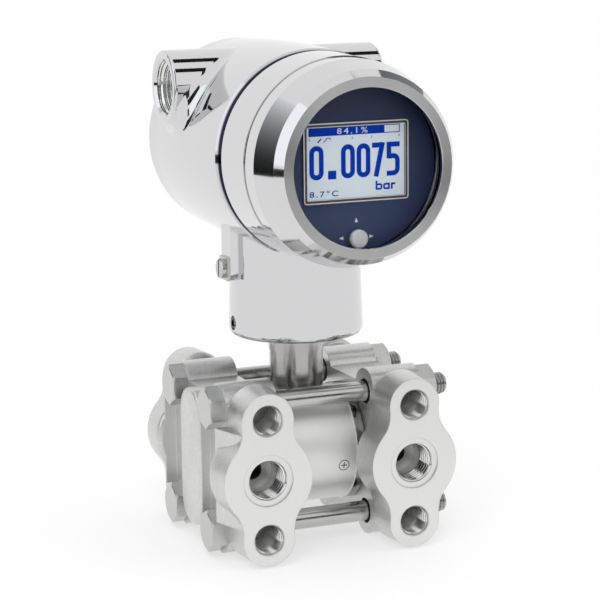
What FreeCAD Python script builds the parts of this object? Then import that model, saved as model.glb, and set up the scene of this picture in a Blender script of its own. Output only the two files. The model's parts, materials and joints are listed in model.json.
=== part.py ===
"""Differential pressure transmitter: a round metal head on a stem, above a measuring
cell that four long bolts clamp between two cast process flanges.

Right-handed frame, millimetres, +Z up.  The origin is the centre of the front process
interface: the two flange faces and their four threaded holes lie in the plane y = 0.
X runs along the clamping bolts, Y points from the front to the rear of the instrument.
Head pieces are drawn about the head axis, which runs along Y through the stem axis;
cell pieces are drawn about the centre of the measuring cell.
"""
import FreeCAD, Part
import math
import os
import Sketcher

Vector = FreeCAD.Vector

SIZES = [
    # process interface and cast flanges
    ("port_span", 54.0, "between the two process ports, along X"),
    ("port_pitch", 41.3, "between the threaded holes of one face, along Z"),
    ("face_half", 40.9, "stem axis to the front and rear process faces"),
    ("lobe_r", 9.25, "small lobes round the threaded holes"),
    ("mid_lobe_r", 15.8, "middle lobe round the process port"),
    ("waist_r", 12.0, "concave arcs between the lobes"),
    ("lobe_depth", 14.4, "length of each lobed block along Y"),
    ("lobe_draft", 3.0, "casting draft of the lobed blocks, degrees"),
    ("lobe_round", 2.0, "rounded rear edge of the lobed blocks"),
    ("flange_inner", 18.0, "cell centre to the flange's inner face"),
    ("flange_thk", 18.5, "flange between its inner face and the bolt seats"),
    ("core_half_z", 24.5, "half height of the flange between its ears"),
    ("pad_rise", 4.0, "outer pad above the bolt seats"),
    ("pad_half_y", 10.0, "half width of the outer pad"),
    ("pad_corner_r", 9.0, "rounded corners of the outer pad"),
    ("pad_round", 1.0, "rounded rim of the outer pad"),
    ("web_rise", 4.3, "web behind the lobes above the bolt seats"),
    ("web_half_z", 16.5, "half height of that web"),
    ("bolt_y", 19.0, "clamping bolts before and behind the stem axis"),
    ("bolt_z", 21.7, "clamping bolts above and below the cell centre"),
    ("ear_r", 8.2, "bolt ears"),
    ("bolt_hole_r", 4.5, "clearance holes for the clamping bolts"),
    ("screw_hole_r", 5.15, "threaded mounting holes in the front faces, core"),
    ("rear_hole_r", 4.25, "threaded mounting holes in the rear faces, core"),
    ("screw_hole_depth", 15.0, "threaded mounting holes, depth"),
    ("hole_chamfer", 0.4, "chamfer at the mouths of the threaded holes"),
    ("port_r", 6.85, "process port bore"),
    ("port_depth", 15.0, "process port bore, depth"),
    ("port_ring_r", 8.9, "shallow ring round the process port"),
    ("port_ring_depth", 0.6, "depth of that ring"),
    ("duct_r", 3.2, "pressure duct between the ports"),
    ("cross_duct_r", 3.0, "pressure duct from the ports to the cell"),
    ("chamber_r", 14.0, "pressure chamber in the flange's inner face"),
    ("chamber_depth", 1.2, "depth of the pressure chamber"),
    ("seal_in_r", 15.2, "process seal, inner radius"),
    ("seal_out_r", 17.6, "process seal, outer radius"),
    ("seal_thk", 1.4, "process seal, thickness"),
    # measuring cell
    ("cell_r", 20.4, "cell body"),
    ("rim_r", 20.9, "end bands of the cell body"),
    ("rim_len", 3.5, "length of an end band"),
    ("rim_chamfer", 0.6, "edge chamfer of the end bands"),
    ("diaphragm_r", 14.0, "isolating diaphragm"),
    ("diaphragm_thk", 0.4, "isolating diaphragm, thickness"),
    ("diaphragm_sink", 0.8, "recess that holds the diaphragm"),
    ("stem_seat_z", 15.5, "cell centre to the seat of the stem"),
    ("capsule_r", 6.0, "measuring capsule"),
    ("capsule_len", 9.0, "measuring capsule, height"),
    # clamping bolts
    ("bolt_len", 85.0, "bolt from the seat of its head to the tip"),
    ("shank_r", 3.6, "plain shank"),
    ("thread_r", 3.95, "threaded end"),
    ("thread_len", 24.0, "length of the threaded end"),
    ("hex_flats", 13.0, "head and nut across flats"),
    ("head_thk", 5.3, "bolt head"),
    ("nut_thk", 6.5, "nut"),
    ("nut_clear", 0.05, "nut thread clearance"),
    ("tip_chamfer", 0.9, "chamfer of the bolt's tip"),
    # rear screw plugs
    ("plug_clear", 0.05, "screw plug in its port"),
    ("plug_len", 10.0, "screw plug"),
    ("plug_sink", 1.0, "screw plug below the face"),
    ("plug_hex", 6.0, "socket across flats"),
    ("plug_hex_depth", 5.0, "socket depth"),
    # stem
    ("stem_r", 9.5, "stem"),
    ("collar_r", 9.8, "collar that carries the head"),
    ("collar_len", 5.8, "collar"),
    ("stem_bore_r", 3.5, "bore of the stem"),
    ("neck_z", 41.2, "cell centre to the underside of the neck"),
    ("turn_clear", 0.05, "stem in the neck"),
    ("neck_web", 12.6, "neck below its inner chamber"),
    ("stem_rise", 3.6, "stem above the web of the neck"),
    ("circlip_thk", 1.2, "retaining ring"),
    ("circlip_r", 11.2, "retaining ring, outer radius"),
    ("circlip_sink", 0.9, "groove of the retaining ring"),
    ("seal_groove_z", 9.0, "stem seal above the neck's underside"),
    ("seal_wire_r", 0.7, "stem seal, section"),
    ("lock_groove_sink", 0.6, "groove that the lock screw enters"),
    ("header_r", 6.0, "sealed header on the stem"),
    ("header_len", 5.0, "sealed header, height"),
    # head: housing
    ("head_z", 106.25, "cell centre to the head axis"),
    ("front_seam", 42.0, "stem axis to the front parting face"),
    ("rear_seam", 45.0, "stem axis to the rear parting face"),
    ("flange_r", 34.7, "housing at the front parting face"),
    ("collar_end", 22.6, "stem axis to the end of the front collar"),
    ("collar_end_r", 35.1, "front collar at its end"),
    ("groove_r", 33.1, "bottom of the groove behind the collar"),
    ("groove_len", 2.2, "groove behind the collar"),
    ("shoulder_r", 34.4, "first edge of the barrel"),
    ("shoulder_len", 2.2, "rounded shoulder of the barrel"),
    ("barrel_front_r", 35.7, "barrel at its front"),
    ("barrel_mid_r", 36.3, "barrel at its fullest"),
    ("barrel_mid_y", 12.0, "stem axis to the fullest section"),
    ("barrel_rear_r", 35.5, "barrel at the rear parting face"),
    ("spigot_r", 30.95, "threaded spigots under the covers"),
    ("front_spigot", 10.6, "front spigot"),
    ("rear_spigot", 6.4, "rear spigot"),
    ("cavity_r", 28.5, "compartments"),
    ("ledge_r", 25.0, "front compartment behind its ledge"),
    ("ledge_y", 14.4, "stem axis to the ledge of the electronics"),
    ("wall_front", 4.0, "stem axis to the front of the dividing wall"),
    ("wall_thk", 4.0, "dividing wall"),
    ("feed_r", 5.0, "feedthrough in the dividing wall"),
    ("feed_z", 4.0, "feedthrough below the head axis"),
    # head: neck
    ("neck_low_r", 23.8, "neck at its underside"),
    ("neck_top_r", 23.1, "neck under the head"),
    ("neck_taper_len", 22.0, "tapered length of the neck"),
    ("neck_round", 2.6, "rounded lower edge of the neck"),
    ("neck_bore_r", 12.5, "inner chamber of the neck"),
    ("lock_z", 5.0, "lock screw above the neck's underside"),
    ("lock_r", 2.5, "lock screw"),
    ("lock_sink", 1.2, "lock screw below the surface"),
    ("lock_hex", 2.5, "lock screw socket"),
    ("earth_face", 25.8, "stem axis to the face of the earth boss"),
    ("earth_half_y", 4.3, "half width of the earth boss"),
    ("earth_low_z", 45.0, "bottom of the earth boss below the head axis"),
    ("earth_screw_z", 40.4, "earth screw below the head axis"),
    ("earth_screw_r", 2.0, "earth screw"),
    ("earth_screw_len", 7.0, "earth screw, thread"),
    ("earth_head_r", 3.4, "earth screw, head"),
    ("earth_head_thk", 1.8, "earth screw, head thickness"),
    ("clamp_thk", 1.0, "earth clamp"),
    # head: cable entries
    ("entry_x", 39.7, "stem axis to the mouth of an entry"),
    ("entry_y", 22.6, "entries behind the stem axis"),
    ("entry_z", 21.0, "entries above the head axis"),
    ("entry_boss_r", 12.95, "entry boss"),
    ("entry_bore_r", 9.25, "entry thread, core"),
    ("entry_mouth", 0.9, "chamfer at the mouth"),
    ("entry_end_x", 12.0, "stem axis to the inner end of an entry"),
    ("entry_round", 5.0, "rounding between boss and barrel"),
    ("boss_edge", 1.0, "rounded rim of an entry boss"),
    # covers
    ("cover_gap", 0.3, "seam between housing and covers"),
    ("thread_clear", 0.05, "cover thread"),
    ("cover_len", 22.0, "front cover"),
    ("cover_r", 34.35, "front cover"),
    ("cone_len", 10.5, "tapered part of the front cover"),
    ("bezel_chamfer_len", 3.5, "bevel of the bezel, along the axis"),
    ("bezel_edge_r", 31.6, "outer edge of the bevel"),
    ("bezel_ring_r", 29.35, "flat ring of the bezel"),
    ("window_r", 26.0, "window opening"),
    ("bezel_lip", 1.5, "lip in front of the glass"),
    ("glass_r", 29.0, "window glass"),
    ("glass_thk", 4.0, "window glass, thickness"),
    ("glass_clear", 0.1, "window glass in the cover"),
    ("gasket_thk", 0.3, "window gasket"),
    ("gasket_width", 2.4, "window gasket, radial"),
    ("retainer_thk", 1.5, "ring behind the glass"),
    ("retainer_r", 27.3, "ring behind the glass, opening"),
    ("cover_seal_w", 1.2, "cover seal, radial"),
    ("cover_seal_len", 1.5, "cover seal, along the axis"),
    ("cover_seal_clear", 0.3, "cover seal round the spigot"),
    ("rear_cover_len", 9.0, "rear cover"),
    ("rear_cover_r", 35.3, "rear cover"),
    ("rear_cover_edge", 1.3, "rounded edge of the rear cover"),
    ("rear_cover_wall", 2.2, "end wall of the rear cover"),
    # display
    ("plate_y", 53.0, "stem axis to the face of the display plate"),
    ("plate_r", 28.2, "display plate"),
    ("plate_thk", 1.2, "display plate, thickness"),
    ("carrier_depth", 11.8, "display carrier"),
    ("carrier_wall", 1.0, "display carrier, wall"),
    ("screen_w", 34.6, "screen, width"),
    ("screen_h", 23.6, "screen, height"),
    ("screen_z", 1.15, "screen above the head axis"),
    ("screen_fit", 0.1, "screen in its frame"),
    ("frame_w", 1.3, "screen frame, width of a bar"),
    ("frame_rise", 0.6, "screen frame above the plate"),
    ("frame_corner_r", 1.6, "screen frame, corners"),
    ("screen_rise", 0.1, "screen above the plate"),
    ("board_thk", 1.6, "circuit boards"),
    ("display_board_y", 46.0, "stem axis to the face of the display board"),
    ("board_fit", 0.2, "boards in their shells"),
    ("post_x", 19.0, "display posts, sideways"),
    ("post_z", 13.0, "display posts, upwards"),
    ("post_r", 2.0, "display posts"),
    # joystick
    ("stick_z", 23.95, "joystick below the head axis"),
    ("stick_cap_r", 3.1, "joystick cap"),
    ("stick_cap_thk", 1.9, "joystick cap, thickness"),
    ("stick_front", 56.1, "stem axis to the front of the joystick"),
    ("stick_pivot", 48.2, "stem axis to the joystick pivot"),
    ("stick_shaft_r", 0.9, "joystick shaft"),
    ("stick_pin_r", 0.55, "joystick pin"),
    ("stick_hole_r", 2.0, "joystick hole in the plate"),
    ("stick_base_w", 5.2, "joystick base, width"),
    ("stick_base_len", 3.6, "joystick base, depth"),
    ("stick_base_floor", 0.7, "joystick base, floor"),
    ("stick_cup_r", 2.3, "joystick base, pocket"),
    ("gimbal_out_r", 1.95, "joystick gimbal, outer"),
    ("gimbal_in_r", 1.45, "joystick gimbal, inner"),
    ("gimbal_len", 0.8, "joystick gimbal, thickness"),
    ("yoke_out_r", 1.15, "joystick yoke, outer"),
    ("yoke_in_r", 0.65, "joystick yoke, inner"),
    ("yoke_len", 2.0, "joystick yoke"),
    # electronics
    ("can_r", 27.6, "electronics can"),
    ("can_wall", 1.4, "electronics can, wall"),
    ("can_step_y", 30.0, "stem axis to the step for the main board"),
    ("can_step_r", 24.0, "electronics can in front of the step"),
    ("supply_y", 18.0, "stem axis to the face of the supply board"),
    ("spacer_w", 2.0, "board spacer, radial"),
    ("block_w", 40.0, "terminal block, width"),
    ("block_h", 22.0, "terminal block, height"),
    ("block_d", 11.0, "terminal block, depth"),
    ("block_low", 16.0, "terminal block below the head axis"),
    ("terminal_pitch", 9.0, "between the terminals"),
    ("terminal_r", 3.3, "terminal wells"),
    ("terminal_depth", 5.0, "terminal wells, depth"),
    ("terminal_screw_r", 3.0, "terminal screws"),
    ("terminal_screw_len", 3.4, "terminal screws, height"),
    ("terminal_slot", 0.8, "terminal screws, slot"),
]

doc = FreeCAD.newDocument("transmitter")
sheet = doc.addObject("Spreadsheet::Sheet", "Sizes")
for row, (alias, value, note) in enumerate(SIZES, start=1):
    sheet.set(f"A{row}", alias.replace("_", " "))
    sheet.set(f"B{row}", str(value))
    sheet.setAlias(f"B{row}", alias)
    sheet.set(f"C{row}", note)
doc.recompute()


class Size:
    """A length that remembers the spreadsheet formula it comes from."""

    def __init__(self, value, text):
        self.value = value
        self.text = text

    def __add__(self, other):
        other = as_size(other)
        return Size(self.value + other.value, f"({self.text} + {other.text})")

    def __sub__(self, other):
        other = as_size(other)
        return Size(self.value - other.value, f"({self.text} - {other.text})")

    def __mul__(self, other):
        other = as_size(other)
        return Size(self.value * other.value, f"({self.text} * {other.text})")

    def __truediv__(self, other):
        other = as_size(other)
        return Size(self.value / other.value, f"({self.text} / {other.text})")

    def __radd__(self, other):
        return as_size(other) + self

    def __rsub__(self, other):
        return as_size(other) - self

    def __rmul__(self, other):
        return as_size(other) * self

    def __neg__(self):
        return Size(-self.value, f"(0 - {self.text})")

    def __float__(self):
        return float(self.value)


def as_size(number):
    """Wrap a plain number, so that it can stand in a formula."""
    return number if isinstance(number, Size) else Size(float(number), repr(float(number)))


class Named:
    """The spreadsheet's cells by name: S.head_z is the Size of the cell head_z."""

    def __getattr__(self, alias):
        return Size(float(sheet.get(alias)), f"Sizes.{alias}")


S = Named()
NODES = []

# places that several pieces share
SEAT_X = S.flange_inner + S.flange_thk
PORT_X = S.port_span / 2
CELL = (0, S.face_half, 0)
HEAD = (0, S.face_half, S.head_z)
NECK_LOW = S.neck_z - S.head_z
COVER_REAR = -(S.front_seam + S.cover_gap)
BEZEL_FACE = COVER_REAR - S.cover_len
COVER_BORE_R = S.spigot_r + S.thread_clear
GLASS_FRONT = BEZEL_FACE + S.bezel_lip + S.gasket_thk
GLASS_REAR = GLASS_FRONT + S.glass_thk
RETAINER_REAR = GLASS_REAR + S.retainer_thk
WALL_REAR = S.wall_front + S.wall_thk
REAR_RIM = S.rear_seam + S.cover_gap
PLATE_REAR = S.plate_thk - S.plate_y
CARRIER_REAR = PLATE_REAR + S.carrier_depth
WEB_TOP = S.neck_z + S.neck_web


def bind(thing, path, size):
    """Tie one property of an object to its formula."""
    size = as_size(size)
    if "." not in path:
        setattr(thing, path, float(size))
    thing.setExpression(path, size.text)


def put(thing, base):
    """Place an object at (x, y, z), each tied to its formula."""
    thing.Placement.Base = Vector(*[float(value) for value in base])
    for axis, value in zip("xyz", base):
        bind(thing, f"Placement.Base.{axis}", value)


def new_body(label, base):
    body = doc.addObject("PartDesign::Body", label)
    body.Label = label
    put(body, base)
    NODES.append(body)
    return body


def new_sketch(body, plane, offset=0):
    """A sketch on one of the body's own planes, moved along the plane's normal."""
    sketch = body.newObject("Sketcher::SketchObject", body.Label + "_sketch")
    support = [item for item in body.Origin.OriginFeatures if item.Role == plane][0]
    sketch.AttachmentSupport = [(support, "")]
    sketch.MapMode = "FlatFace"
    bind(sketch, "AttachmentOffset.Base.z", offset)
    return sketch


def fix(sketch, item, end, point):
    """Fix one end of a sketch element at a point given by two formulas."""
    for kind, value in zip(("DistanceX", "DistanceY"), point):
        value = as_size(value)
        index = sketch.addConstraint(Sketcher.Constraint(kind, item, end, float(value)))
        sketch.setExpression(f"Constraints[{index}]", value.text)


def outline(sketch, points):
    """A closed outline of straight edges; a point ("via", u, v) bends its edge to an arc."""
    corners = [point for point in points if point[0] != "via"]
    first = sketch.GeometryCount
    bends = {}
    count = 0
    for point in points:
        if point[0] == "via":
            bends[count - 1] = point[1:]
        else:
            count += 1
    flat = [Vector(float(u), float(v), 0) for u, v in corners]
    for number, start in enumerate(flat):
        end = flat[(number + 1) % len(flat)]
        if number in bends:
            middle = Vector(float(bends[number][0]), float(bends[number][1]), 0)
            edge = Part.Arc(start, middle, end)
        else:
            edge = Part.LineSegment(start, end)
        sketch.addGeometry(edge, False)
    ends = [arc_ends(sketch, first + number, start) for number, start in enumerate(flat)]
    for number, corner in enumerate(corners):
        after = (number + 1) % len(corners)
        fix(sketch, first + number, ends[number][0], corner)
        sketch.addConstraint(
            Sketcher.Constraint("Coincident", first + number, ends[number][1], first + after, ends[after][0]))
    for number, bend in bends.items():
        mark = sketch.addGeometry(Part.Point(Vector(float(bend[0]), float(bend[1]), 0)), True)
        fix(sketch, mark, 1, bend)
        sketch.addConstraint(Sketcher.Constraint("PointOnObject", mark, 1, first + number))


def arc_ends(sketch, item, start):
    """Which ends of a sketch element come first and last along the outline."""
    near = sketch.getPoint(item, 1).distanceToPoint(start)
    far = sketch.getPoint(item, 2).distanceToPoint(start)
    return (1, 2) if near <= far else (2, 1)


def circle(sketch, centre, radius):
    radius = as_size(radius)
    middle = Vector(float(centre[0]), float(centre[1]), 0)
    item = sketch.addGeometry(Part.Circle(middle, Vector(0, 0, 1), float(radius)), False)
    fix(sketch, item, 3, centre)
    index = sketch.addConstraint(Sketcher.Constraint("Radius", item, float(radius)))
    sketch.setExpression(f"Constraints[{index}]", radius.text)


def rectangle(sketch, centre, width, height):
    u, v = (as_size(value) for value in centre)
    half_w, half_h = as_size(width) / 2, as_size(height) / 2
    outline(sketch, [(u - half_w, v - half_h), (u + half_w, v - half_h),
                     (u + half_w, v + half_h), (u - half_w, v + half_h)])


def rounded_rectangle(sketch, centre, width, height, radius):
    u, v = (as_size(value) for value in centre)
    half_w, half_h = as_size(width) / 2, as_size(height) / 2
    slack = radius * (1 - math.sqrt(0.5))
    points = []
    for side_u, side_v in ((1, 1), (-1, 1), (-1, -1), (1, -1)):
        beside = (u + side_u * half_w, v + side_v * (half_h - radius))
        above = (u + side_u * (half_w - radius), v + side_v * half_h)
        bend = ("via", u + side_u * (half_w - slack), v + side_v * (half_h - slack))
        points += [beside, bend, above] if side_u == side_v else [above, bend, beside]
    outline(sketch, points)


def hexagon(sketch, centre, flats):
    """A hexagon with two flats square to the sketch's first direction."""
    u, v = (as_size(value) for value in centre)
    half = as_size(flats) / 2
    corner = half * (2 / math.sqrt(3))
    outline(sketch, [(u + half, v - corner / 2), (u + half, v + corner / 2), (u, v + corner),
                     (u - half, v + corner / 2), (u - half, v - corner / 2), (u, v - corner)])


def feature(body, kind, sketch, **settings):
    """Add a Pad, Pocket, Revolution or Groove and check that it changed the solid."""
    before = body.Shape.Volume if body.Tip else 0.0
    made = body.newObject("PartDesign::" + kind, body.Label + "_" + kind.lower())
    made.Profile = sketch
    if kind in ("Revolution", "Groove"):
        made.ReferenceAxis = (sketch, [settings.pop("axis")])
        made.Angle = 360.0
    if "length" in settings:
        bind(made, "Length", settings.pop("length"))
    for name, value in settings.items():
        setattr(made, name, value)
    doc.recompute()
    change = body.Shape.Volume - before
    if (kind in ("Pad", "Revolution")) != (change > 0) or abs(change) < 1e-6:
        raise ValueError(f"{body.Label}: {kind} changed the volume by {change:.4f}")
    return made


def dress(body, kind, edges, size):
    """Fillet or chamfer the named edges of the body's last feature."""
    last = body.Tip
    made = body.newObject("PartDesign::" + kind, body.Label + "_" + kind.lower())
    made.Base = (last, edges)
    bind(made, "Radius" if kind == "Fillet" else "Size", size)
    body.Tip = made
    doc.recompute()
    return made


def edges_of(body, wanted):
    """Names of the edges of the body's last feature for which wanted(edge) is true."""
    return [f"Edge{number}" for number, edge in enumerate(body.Tip.Shape.Edges, start=1) if wanted(edge)]


def round_edge(edge, axis, place, radius):
    """True for a circular edge about the given axis, at the given place along it."""
    curve = edge.Curve
    if curve.TypeId != "Part::GeomCircle" or abs(curve.Radius - float(radius)) > 0.02:
        return False
    return abs(curve.Axis[axis]) > 0.99 and abs(curve.Center[axis] - float(place)) < 0.02


def turned(label, base, axis, profile):
    """A body turned about X, Y or Z; the profile lists (place along the axis, radius)."""
    body = new_body(label, base)
    if axis == "Z":
        sketch = new_sketch(body, "XZ_Plane")
        swap = [("via", p[2], p[1]) if p[0] == "via" else (p[1], p[0]) for p in profile]
        outline(sketch, swap)
        feature(body, "Revolution", sketch, axis="V_Axis")
    else:
        sketch = new_sketch(body, "YZ_Plane" if axis == "Y" else "XZ_Plane")
        outline(sketch, profile)
        feature(body, "Revolution", sketch, axis="H_Axis")
    return body


def ring(label, base, axis, start, end, inner, outer):
    """A plain ring or disc between two places along its axis."""
    return turned(label, base, axis, [(start, inner), (end, inner), (end, outer), (start, outer)])


def lobed_outline(sketch):
    """Three round lobes joined by concave arcs, every joint tangent."""
    pitch, small, middle, waist = (float(v) for v in (S.port_pitch / 2, S.lobe_r, S.mid_lobe_r, S.waist_r))
    near, far = small + waist, middle + waist
    waist_z = (far ** 2 - near ** 2 + pitch ** 2) / (2 * pitch)
    waist_x = math.sqrt(far ** 2 - waist_z ** 2)
    centre = Vector(float(PORT_X), 0, 0)
    lobes = {"top": (Vector(0, pitch, 0), small), "low": (Vector(0, -pitch, 0), small),
             "mid": (Vector(0, 0, 0), middle)}

    def waist_point(side, end, lobe):
        hollow = Vector(side * waist_x, end * waist_z, 0)
        heart, radius = lobes[lobe]
        return heart + (hollow - heart).normalize() * radius

    def hollow_middle(side, end):
        hollow = Vector(side * waist_x, end * waist_z, 0)
        toward = (Vector(0, end * (pitch + small) / 2, 0) - hollow).normalize()
        return hollow + toward * waist

    joints = [waist_point(1, 1, "top"), waist_point(1, 1, "mid"), waist_point(1, -1, "mid"),
              waist_point(1, -1, "low"), waist_point(-1, -1, "low"), waist_point(-1, -1, "mid"),
              waist_point(-1, 1, "mid"), waist_point(-1, 1, "top")]
    middles = [hollow_middle(1, 1), Vector(middle, 0, 0), hollow_middle(1, -1), Vector(0, -pitch - small, 0),
               hollow_middle(-1, -1), Vector(-middle, 0, 0), hollow_middle(-1, 1), Vector(0, pitch + small, 0)]
    radii = [S.waist_r, S.mid_lobe_r, S.waist_r, S.lobe_r] * 2
    for number, start in enumerate(joints):
        end = joints[(number + 1) % 8]
        sketch.addGeometry(Part.Arc(centre + start, centre + middles[number], centre + end), False)
    ends = [arc_ends(sketch, number, centre + start) for number, start in enumerate(joints)]
    for number, radius in enumerate(radii):
        after = (number + 1) % 8
        sketch.addConstraint(
            Sketcher.Constraint("Tangent", number, ends[number][1], after, ends[after][0]))
        index = sketch.addConstraint(Sketcher.Constraint("Radius", number, float(radius)))
        sketch.setExpression(f"Constraints[{index}]", radius.text)
    for number, height in ((1, 0), (5, 0), (3, -S.port_pitch / 2), (7, S.port_pitch / 2)):
        fix(sketch, number, 3, (PORT_X, height))


def is_flat_edge(edge, axis, place):
    """True for an edge that lies wholly in one plane across an axis."""
    box = edge.BoundBox
    low, high = ((box.XMin, box.XMax), (box.YMin, box.YMax), (box.ZMin, box.ZMax))[axis]
    return abs(low - float(place)) < 0.01 and abs(high - float(place)) < 0.01


def process_flange(label, turn):
    """A cast process flange: a slab with four bolt ears between two lobed port blocks.

    Drawn on the +X side of the cell; the other flange is the same casting turned round, and
    tapped so that both have the larger threads in front.
    """
    body = new_body(label, CELL)
    body.Placement.Rotation = FreeCAD.Rotation(Vector(0, 0, 1), turn)
    block = new_sketch(body, "XZ_Plane", S.face_half)
    lobed_outline(block)
    pad = feature(body, "Pad", block, length=S.lobe_depth, Reversed=True)
    bind(pad, "TaperAngle", S.lobe_draft)
    doc.recompute()
    mirror = body.newObject("PartDesign::Mirrored", label + "_mirror")
    mirror.Originals = [pad]
    plane = [item for item in body.Origin.OriginFeatures if item.Role == "XZ_Plane"][0]
    mirror.MirrorPlane = (plane, [""])
    body.Tip = mirror
    doc.recompute()
    block_rear = S.face_half - S.lobe_depth
    rears = edges_of(body, lambda e: is_flat_edge(e, 1, block_rear) or is_flat_edge(e, 1, -block_rear))
    dress(body, "Fillet", rears, S.lobe_round)
    core_half_y = block_rear + S.lobe_round
    core = new_sketch(body, "YZ_Plane", S.flange_inner)
    rectangle(core, (0, 0), 2 * core_half_y, 2 * S.core_half_z)
    feature(body, "Pad", core, length=S.flange_thk)
    for side in (-1, 1):
        web = new_sketch(body, "XY_Plane")
        start, end = block_rear, S.face_half - 0.5
        outline(web, [(PORT_X, side * start), (SEAT_X + S.web_rise, side * start),
                      (SEAT_X, side * end), (PORT_X, side * end)])
        feature(body, "Pad", web, length=2 * S.web_half_z, SideType="Symmetric")
    ears = new_sketch(body, "YZ_Plane", S.flange_inner)
    for side_y in (-1, 1):
        for side_z in (-1, 1):
            circle(ears, (side_y * S.bolt_y, side_z * S.bolt_z), S.ear_r)
    feature(body, "Pad", ears, length=S.flange_thk, AllowMultiFace=True)
    raised = new_sketch(body, "YZ_Plane", SEAT_X)
    rounded_rectangle(raised, (0, 0), 2 * S.pad_half_y, 2 * S.core_half_z, S.pad_corner_r)
    feature(body, "Pad", raised, length=S.pad_rise)
    rim = edges_of(body, lambda e: is_flat_edge(e, 0, SEAT_X + S.pad_rise))
    dress(body, "Fillet", rim, S.pad_round)
    holes = new_sketch(body, "YZ_Plane", S.flange_inner)
    for side_y in (-1, 1):
        for side_z in (-1, 1):
            circle(holes, (side_y * S.bolt_y, side_z * S.bolt_z), S.bolt_hole_r)
    feature(body, "Pocket", holes, length=S.flange_thk + 1, Reversed=True)
    for front in (True, False):
        faces_front = front == (turn == 0)
        bores = new_sketch(body, "XZ_Plane", S.face_half if front else -S.face_half)
        for height in (S.port_pitch / 2, -S.port_pitch / 2):
            circle(bores, (PORT_X, height), S.screw_hole_r if faces_front else S.rear_hole_r)
        feature(body, "Pocket", bores, length=S.screw_hole_depth, Reversed=not front)
        port = new_sketch(body, "XZ_Plane", S.face_half if front else -S.face_half)
        circle(port, (PORT_X, 0), S.port_r)
        feature(body, "Pocket", port, length=S.port_depth, Reversed=not front)
        halo = new_sketch(body, "XZ_Plane", S.face_half if front else -S.face_half)
        circle(halo, (PORT_X, 0), S.port_ring_r)
        feature(body, "Pocket", halo, length=S.port_ring_depth, Reversed=not front)
    duct = new_sketch(body, "XZ_Plane")
    circle(duct, (PORT_X, 0), S.duct_r)
    feature(body, "Pocket", duct, length=2 * (S.face_half - 2), SideType="Symmetric")
    cross = new_sketch(body, "YZ_Plane", S.flange_inner)
    circle(cross, (0, 0), S.cross_duct_r)
    feature(body, "Pocket", cross, length=PORT_X - S.flange_inner, Reversed=True)
    chamber = new_sketch(body, "YZ_Plane", S.flange_inner)
    circle(chamber, (0, 0), S.chamber_r)
    feature(body, "Pocket", chamber, length=S.chamber_depth, Reversed=True)
    groove = new_sketch(body, "YZ_Plane", S.flange_inner)
    circle(groove, (0, 0), S.seal_out_r)
    circle(groove, (0, 0), S.seal_in_r)
    feature(body, "Pocket", groove, length=S.seal_thk, Reversed=True)
    mouths = edges_of(body, lambda e: any(round_edge(e, 1, side * S.face_half, radius) for side in (-1, 1)
                                          for radius in (S.screw_hole_r, S.rear_hole_r)))
    dress(body, "Chamfer", mouths, S.hole_chamfer)
    return body


def measuring_cell():
    """The cell body with polished end bands, diaphragm recesses and the stem's seat."""
    half = S.flange_inner
    face = half - S.diaphragm_sink
    profile = [(-face, 0), (-face, S.diaphragm_r), (-half, S.diaphragm_r),
               (-half, S.rim_r - S.rim_chamfer), (S.rim_chamfer - half, S.rim_r),
               (S.rim_len - half, S.rim_r), (S.rim_len - half, S.cell_r),
               (half - S.rim_len, S.cell_r), (half - S.rim_len, S.rim_r),
               (half - S.rim_chamfer, S.rim_r), (half, S.rim_r - S.rim_chamfer),
               (half, S.diaphragm_r), (face, S.diaphragm_r), (face, 0)]
    body = turned("measuring_cell", CELL, "X", profile)
    seat = new_sketch(body, "XY_Plane", S.stem_seat_z)
    circle(seat, (0, 0), S.stem_r + S.turn_clear)
    feature(body, "Pocket", seat, length=S.cell_r, Reversed=True)
    well = new_sketch(body, "XY_Plane", S.stem_seat_z)
    circle(well, (0, 0), S.capsule_r + S.turn_clear)
    feature(body, "Pocket", well, length=S.capsule_len)
    return body


def cell_inserts():
    """The measuring capsule, both isolating diaphragms and both process seals."""
    ring("measuring_capsule", CELL, "Z", S.stem_seat_z - S.capsule_len, S.stem_seat_z, 0, S.capsule_r)
    face = S.flange_inner - S.diaphragm_sink
    for name, side in (("left", -1), ("right", 1)):
        ring(f"diaphragm_{name}", CELL, "X", side * face, side * (face + S.diaphragm_thk),
             0, S.diaphragm_r - S.turn_clear)
        ring(f"process_seal_{name}", CELL, "X", side * S.flange_inner,
             side * (S.flange_inner + S.seal_thk), S.seal_in_r, S.seal_out_r)


def hex_body(label, base, start, length, chamfer_side):
    """A hexagon along X with one or both ends turned to a cone at the corners."""
    body = new_body(label, base)
    sketch = new_sketch(body, "YZ_Plane", start)
    hexagon(sketch, (0, 0), S.hex_flats)
    feature(body, "Pad", sketch, length=length)
    corner = S.hex_flats / 2 * (2 / math.sqrt(3)) + 0.2
    flat = S.hex_flats / 2 * 0.97
    drop = (corner - flat) * 0.5
    for side in chamfer_side:
        end = as_size(start) + (length if side > 0 else 0)
        cut = new_sketch(body, "XZ_Plane")
        outline(cut, [(end, flat), (end, corner), (end - side * drop, corner)])
        feature(body, "Groove", cut, axis="H_Axis")
    return body


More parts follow.
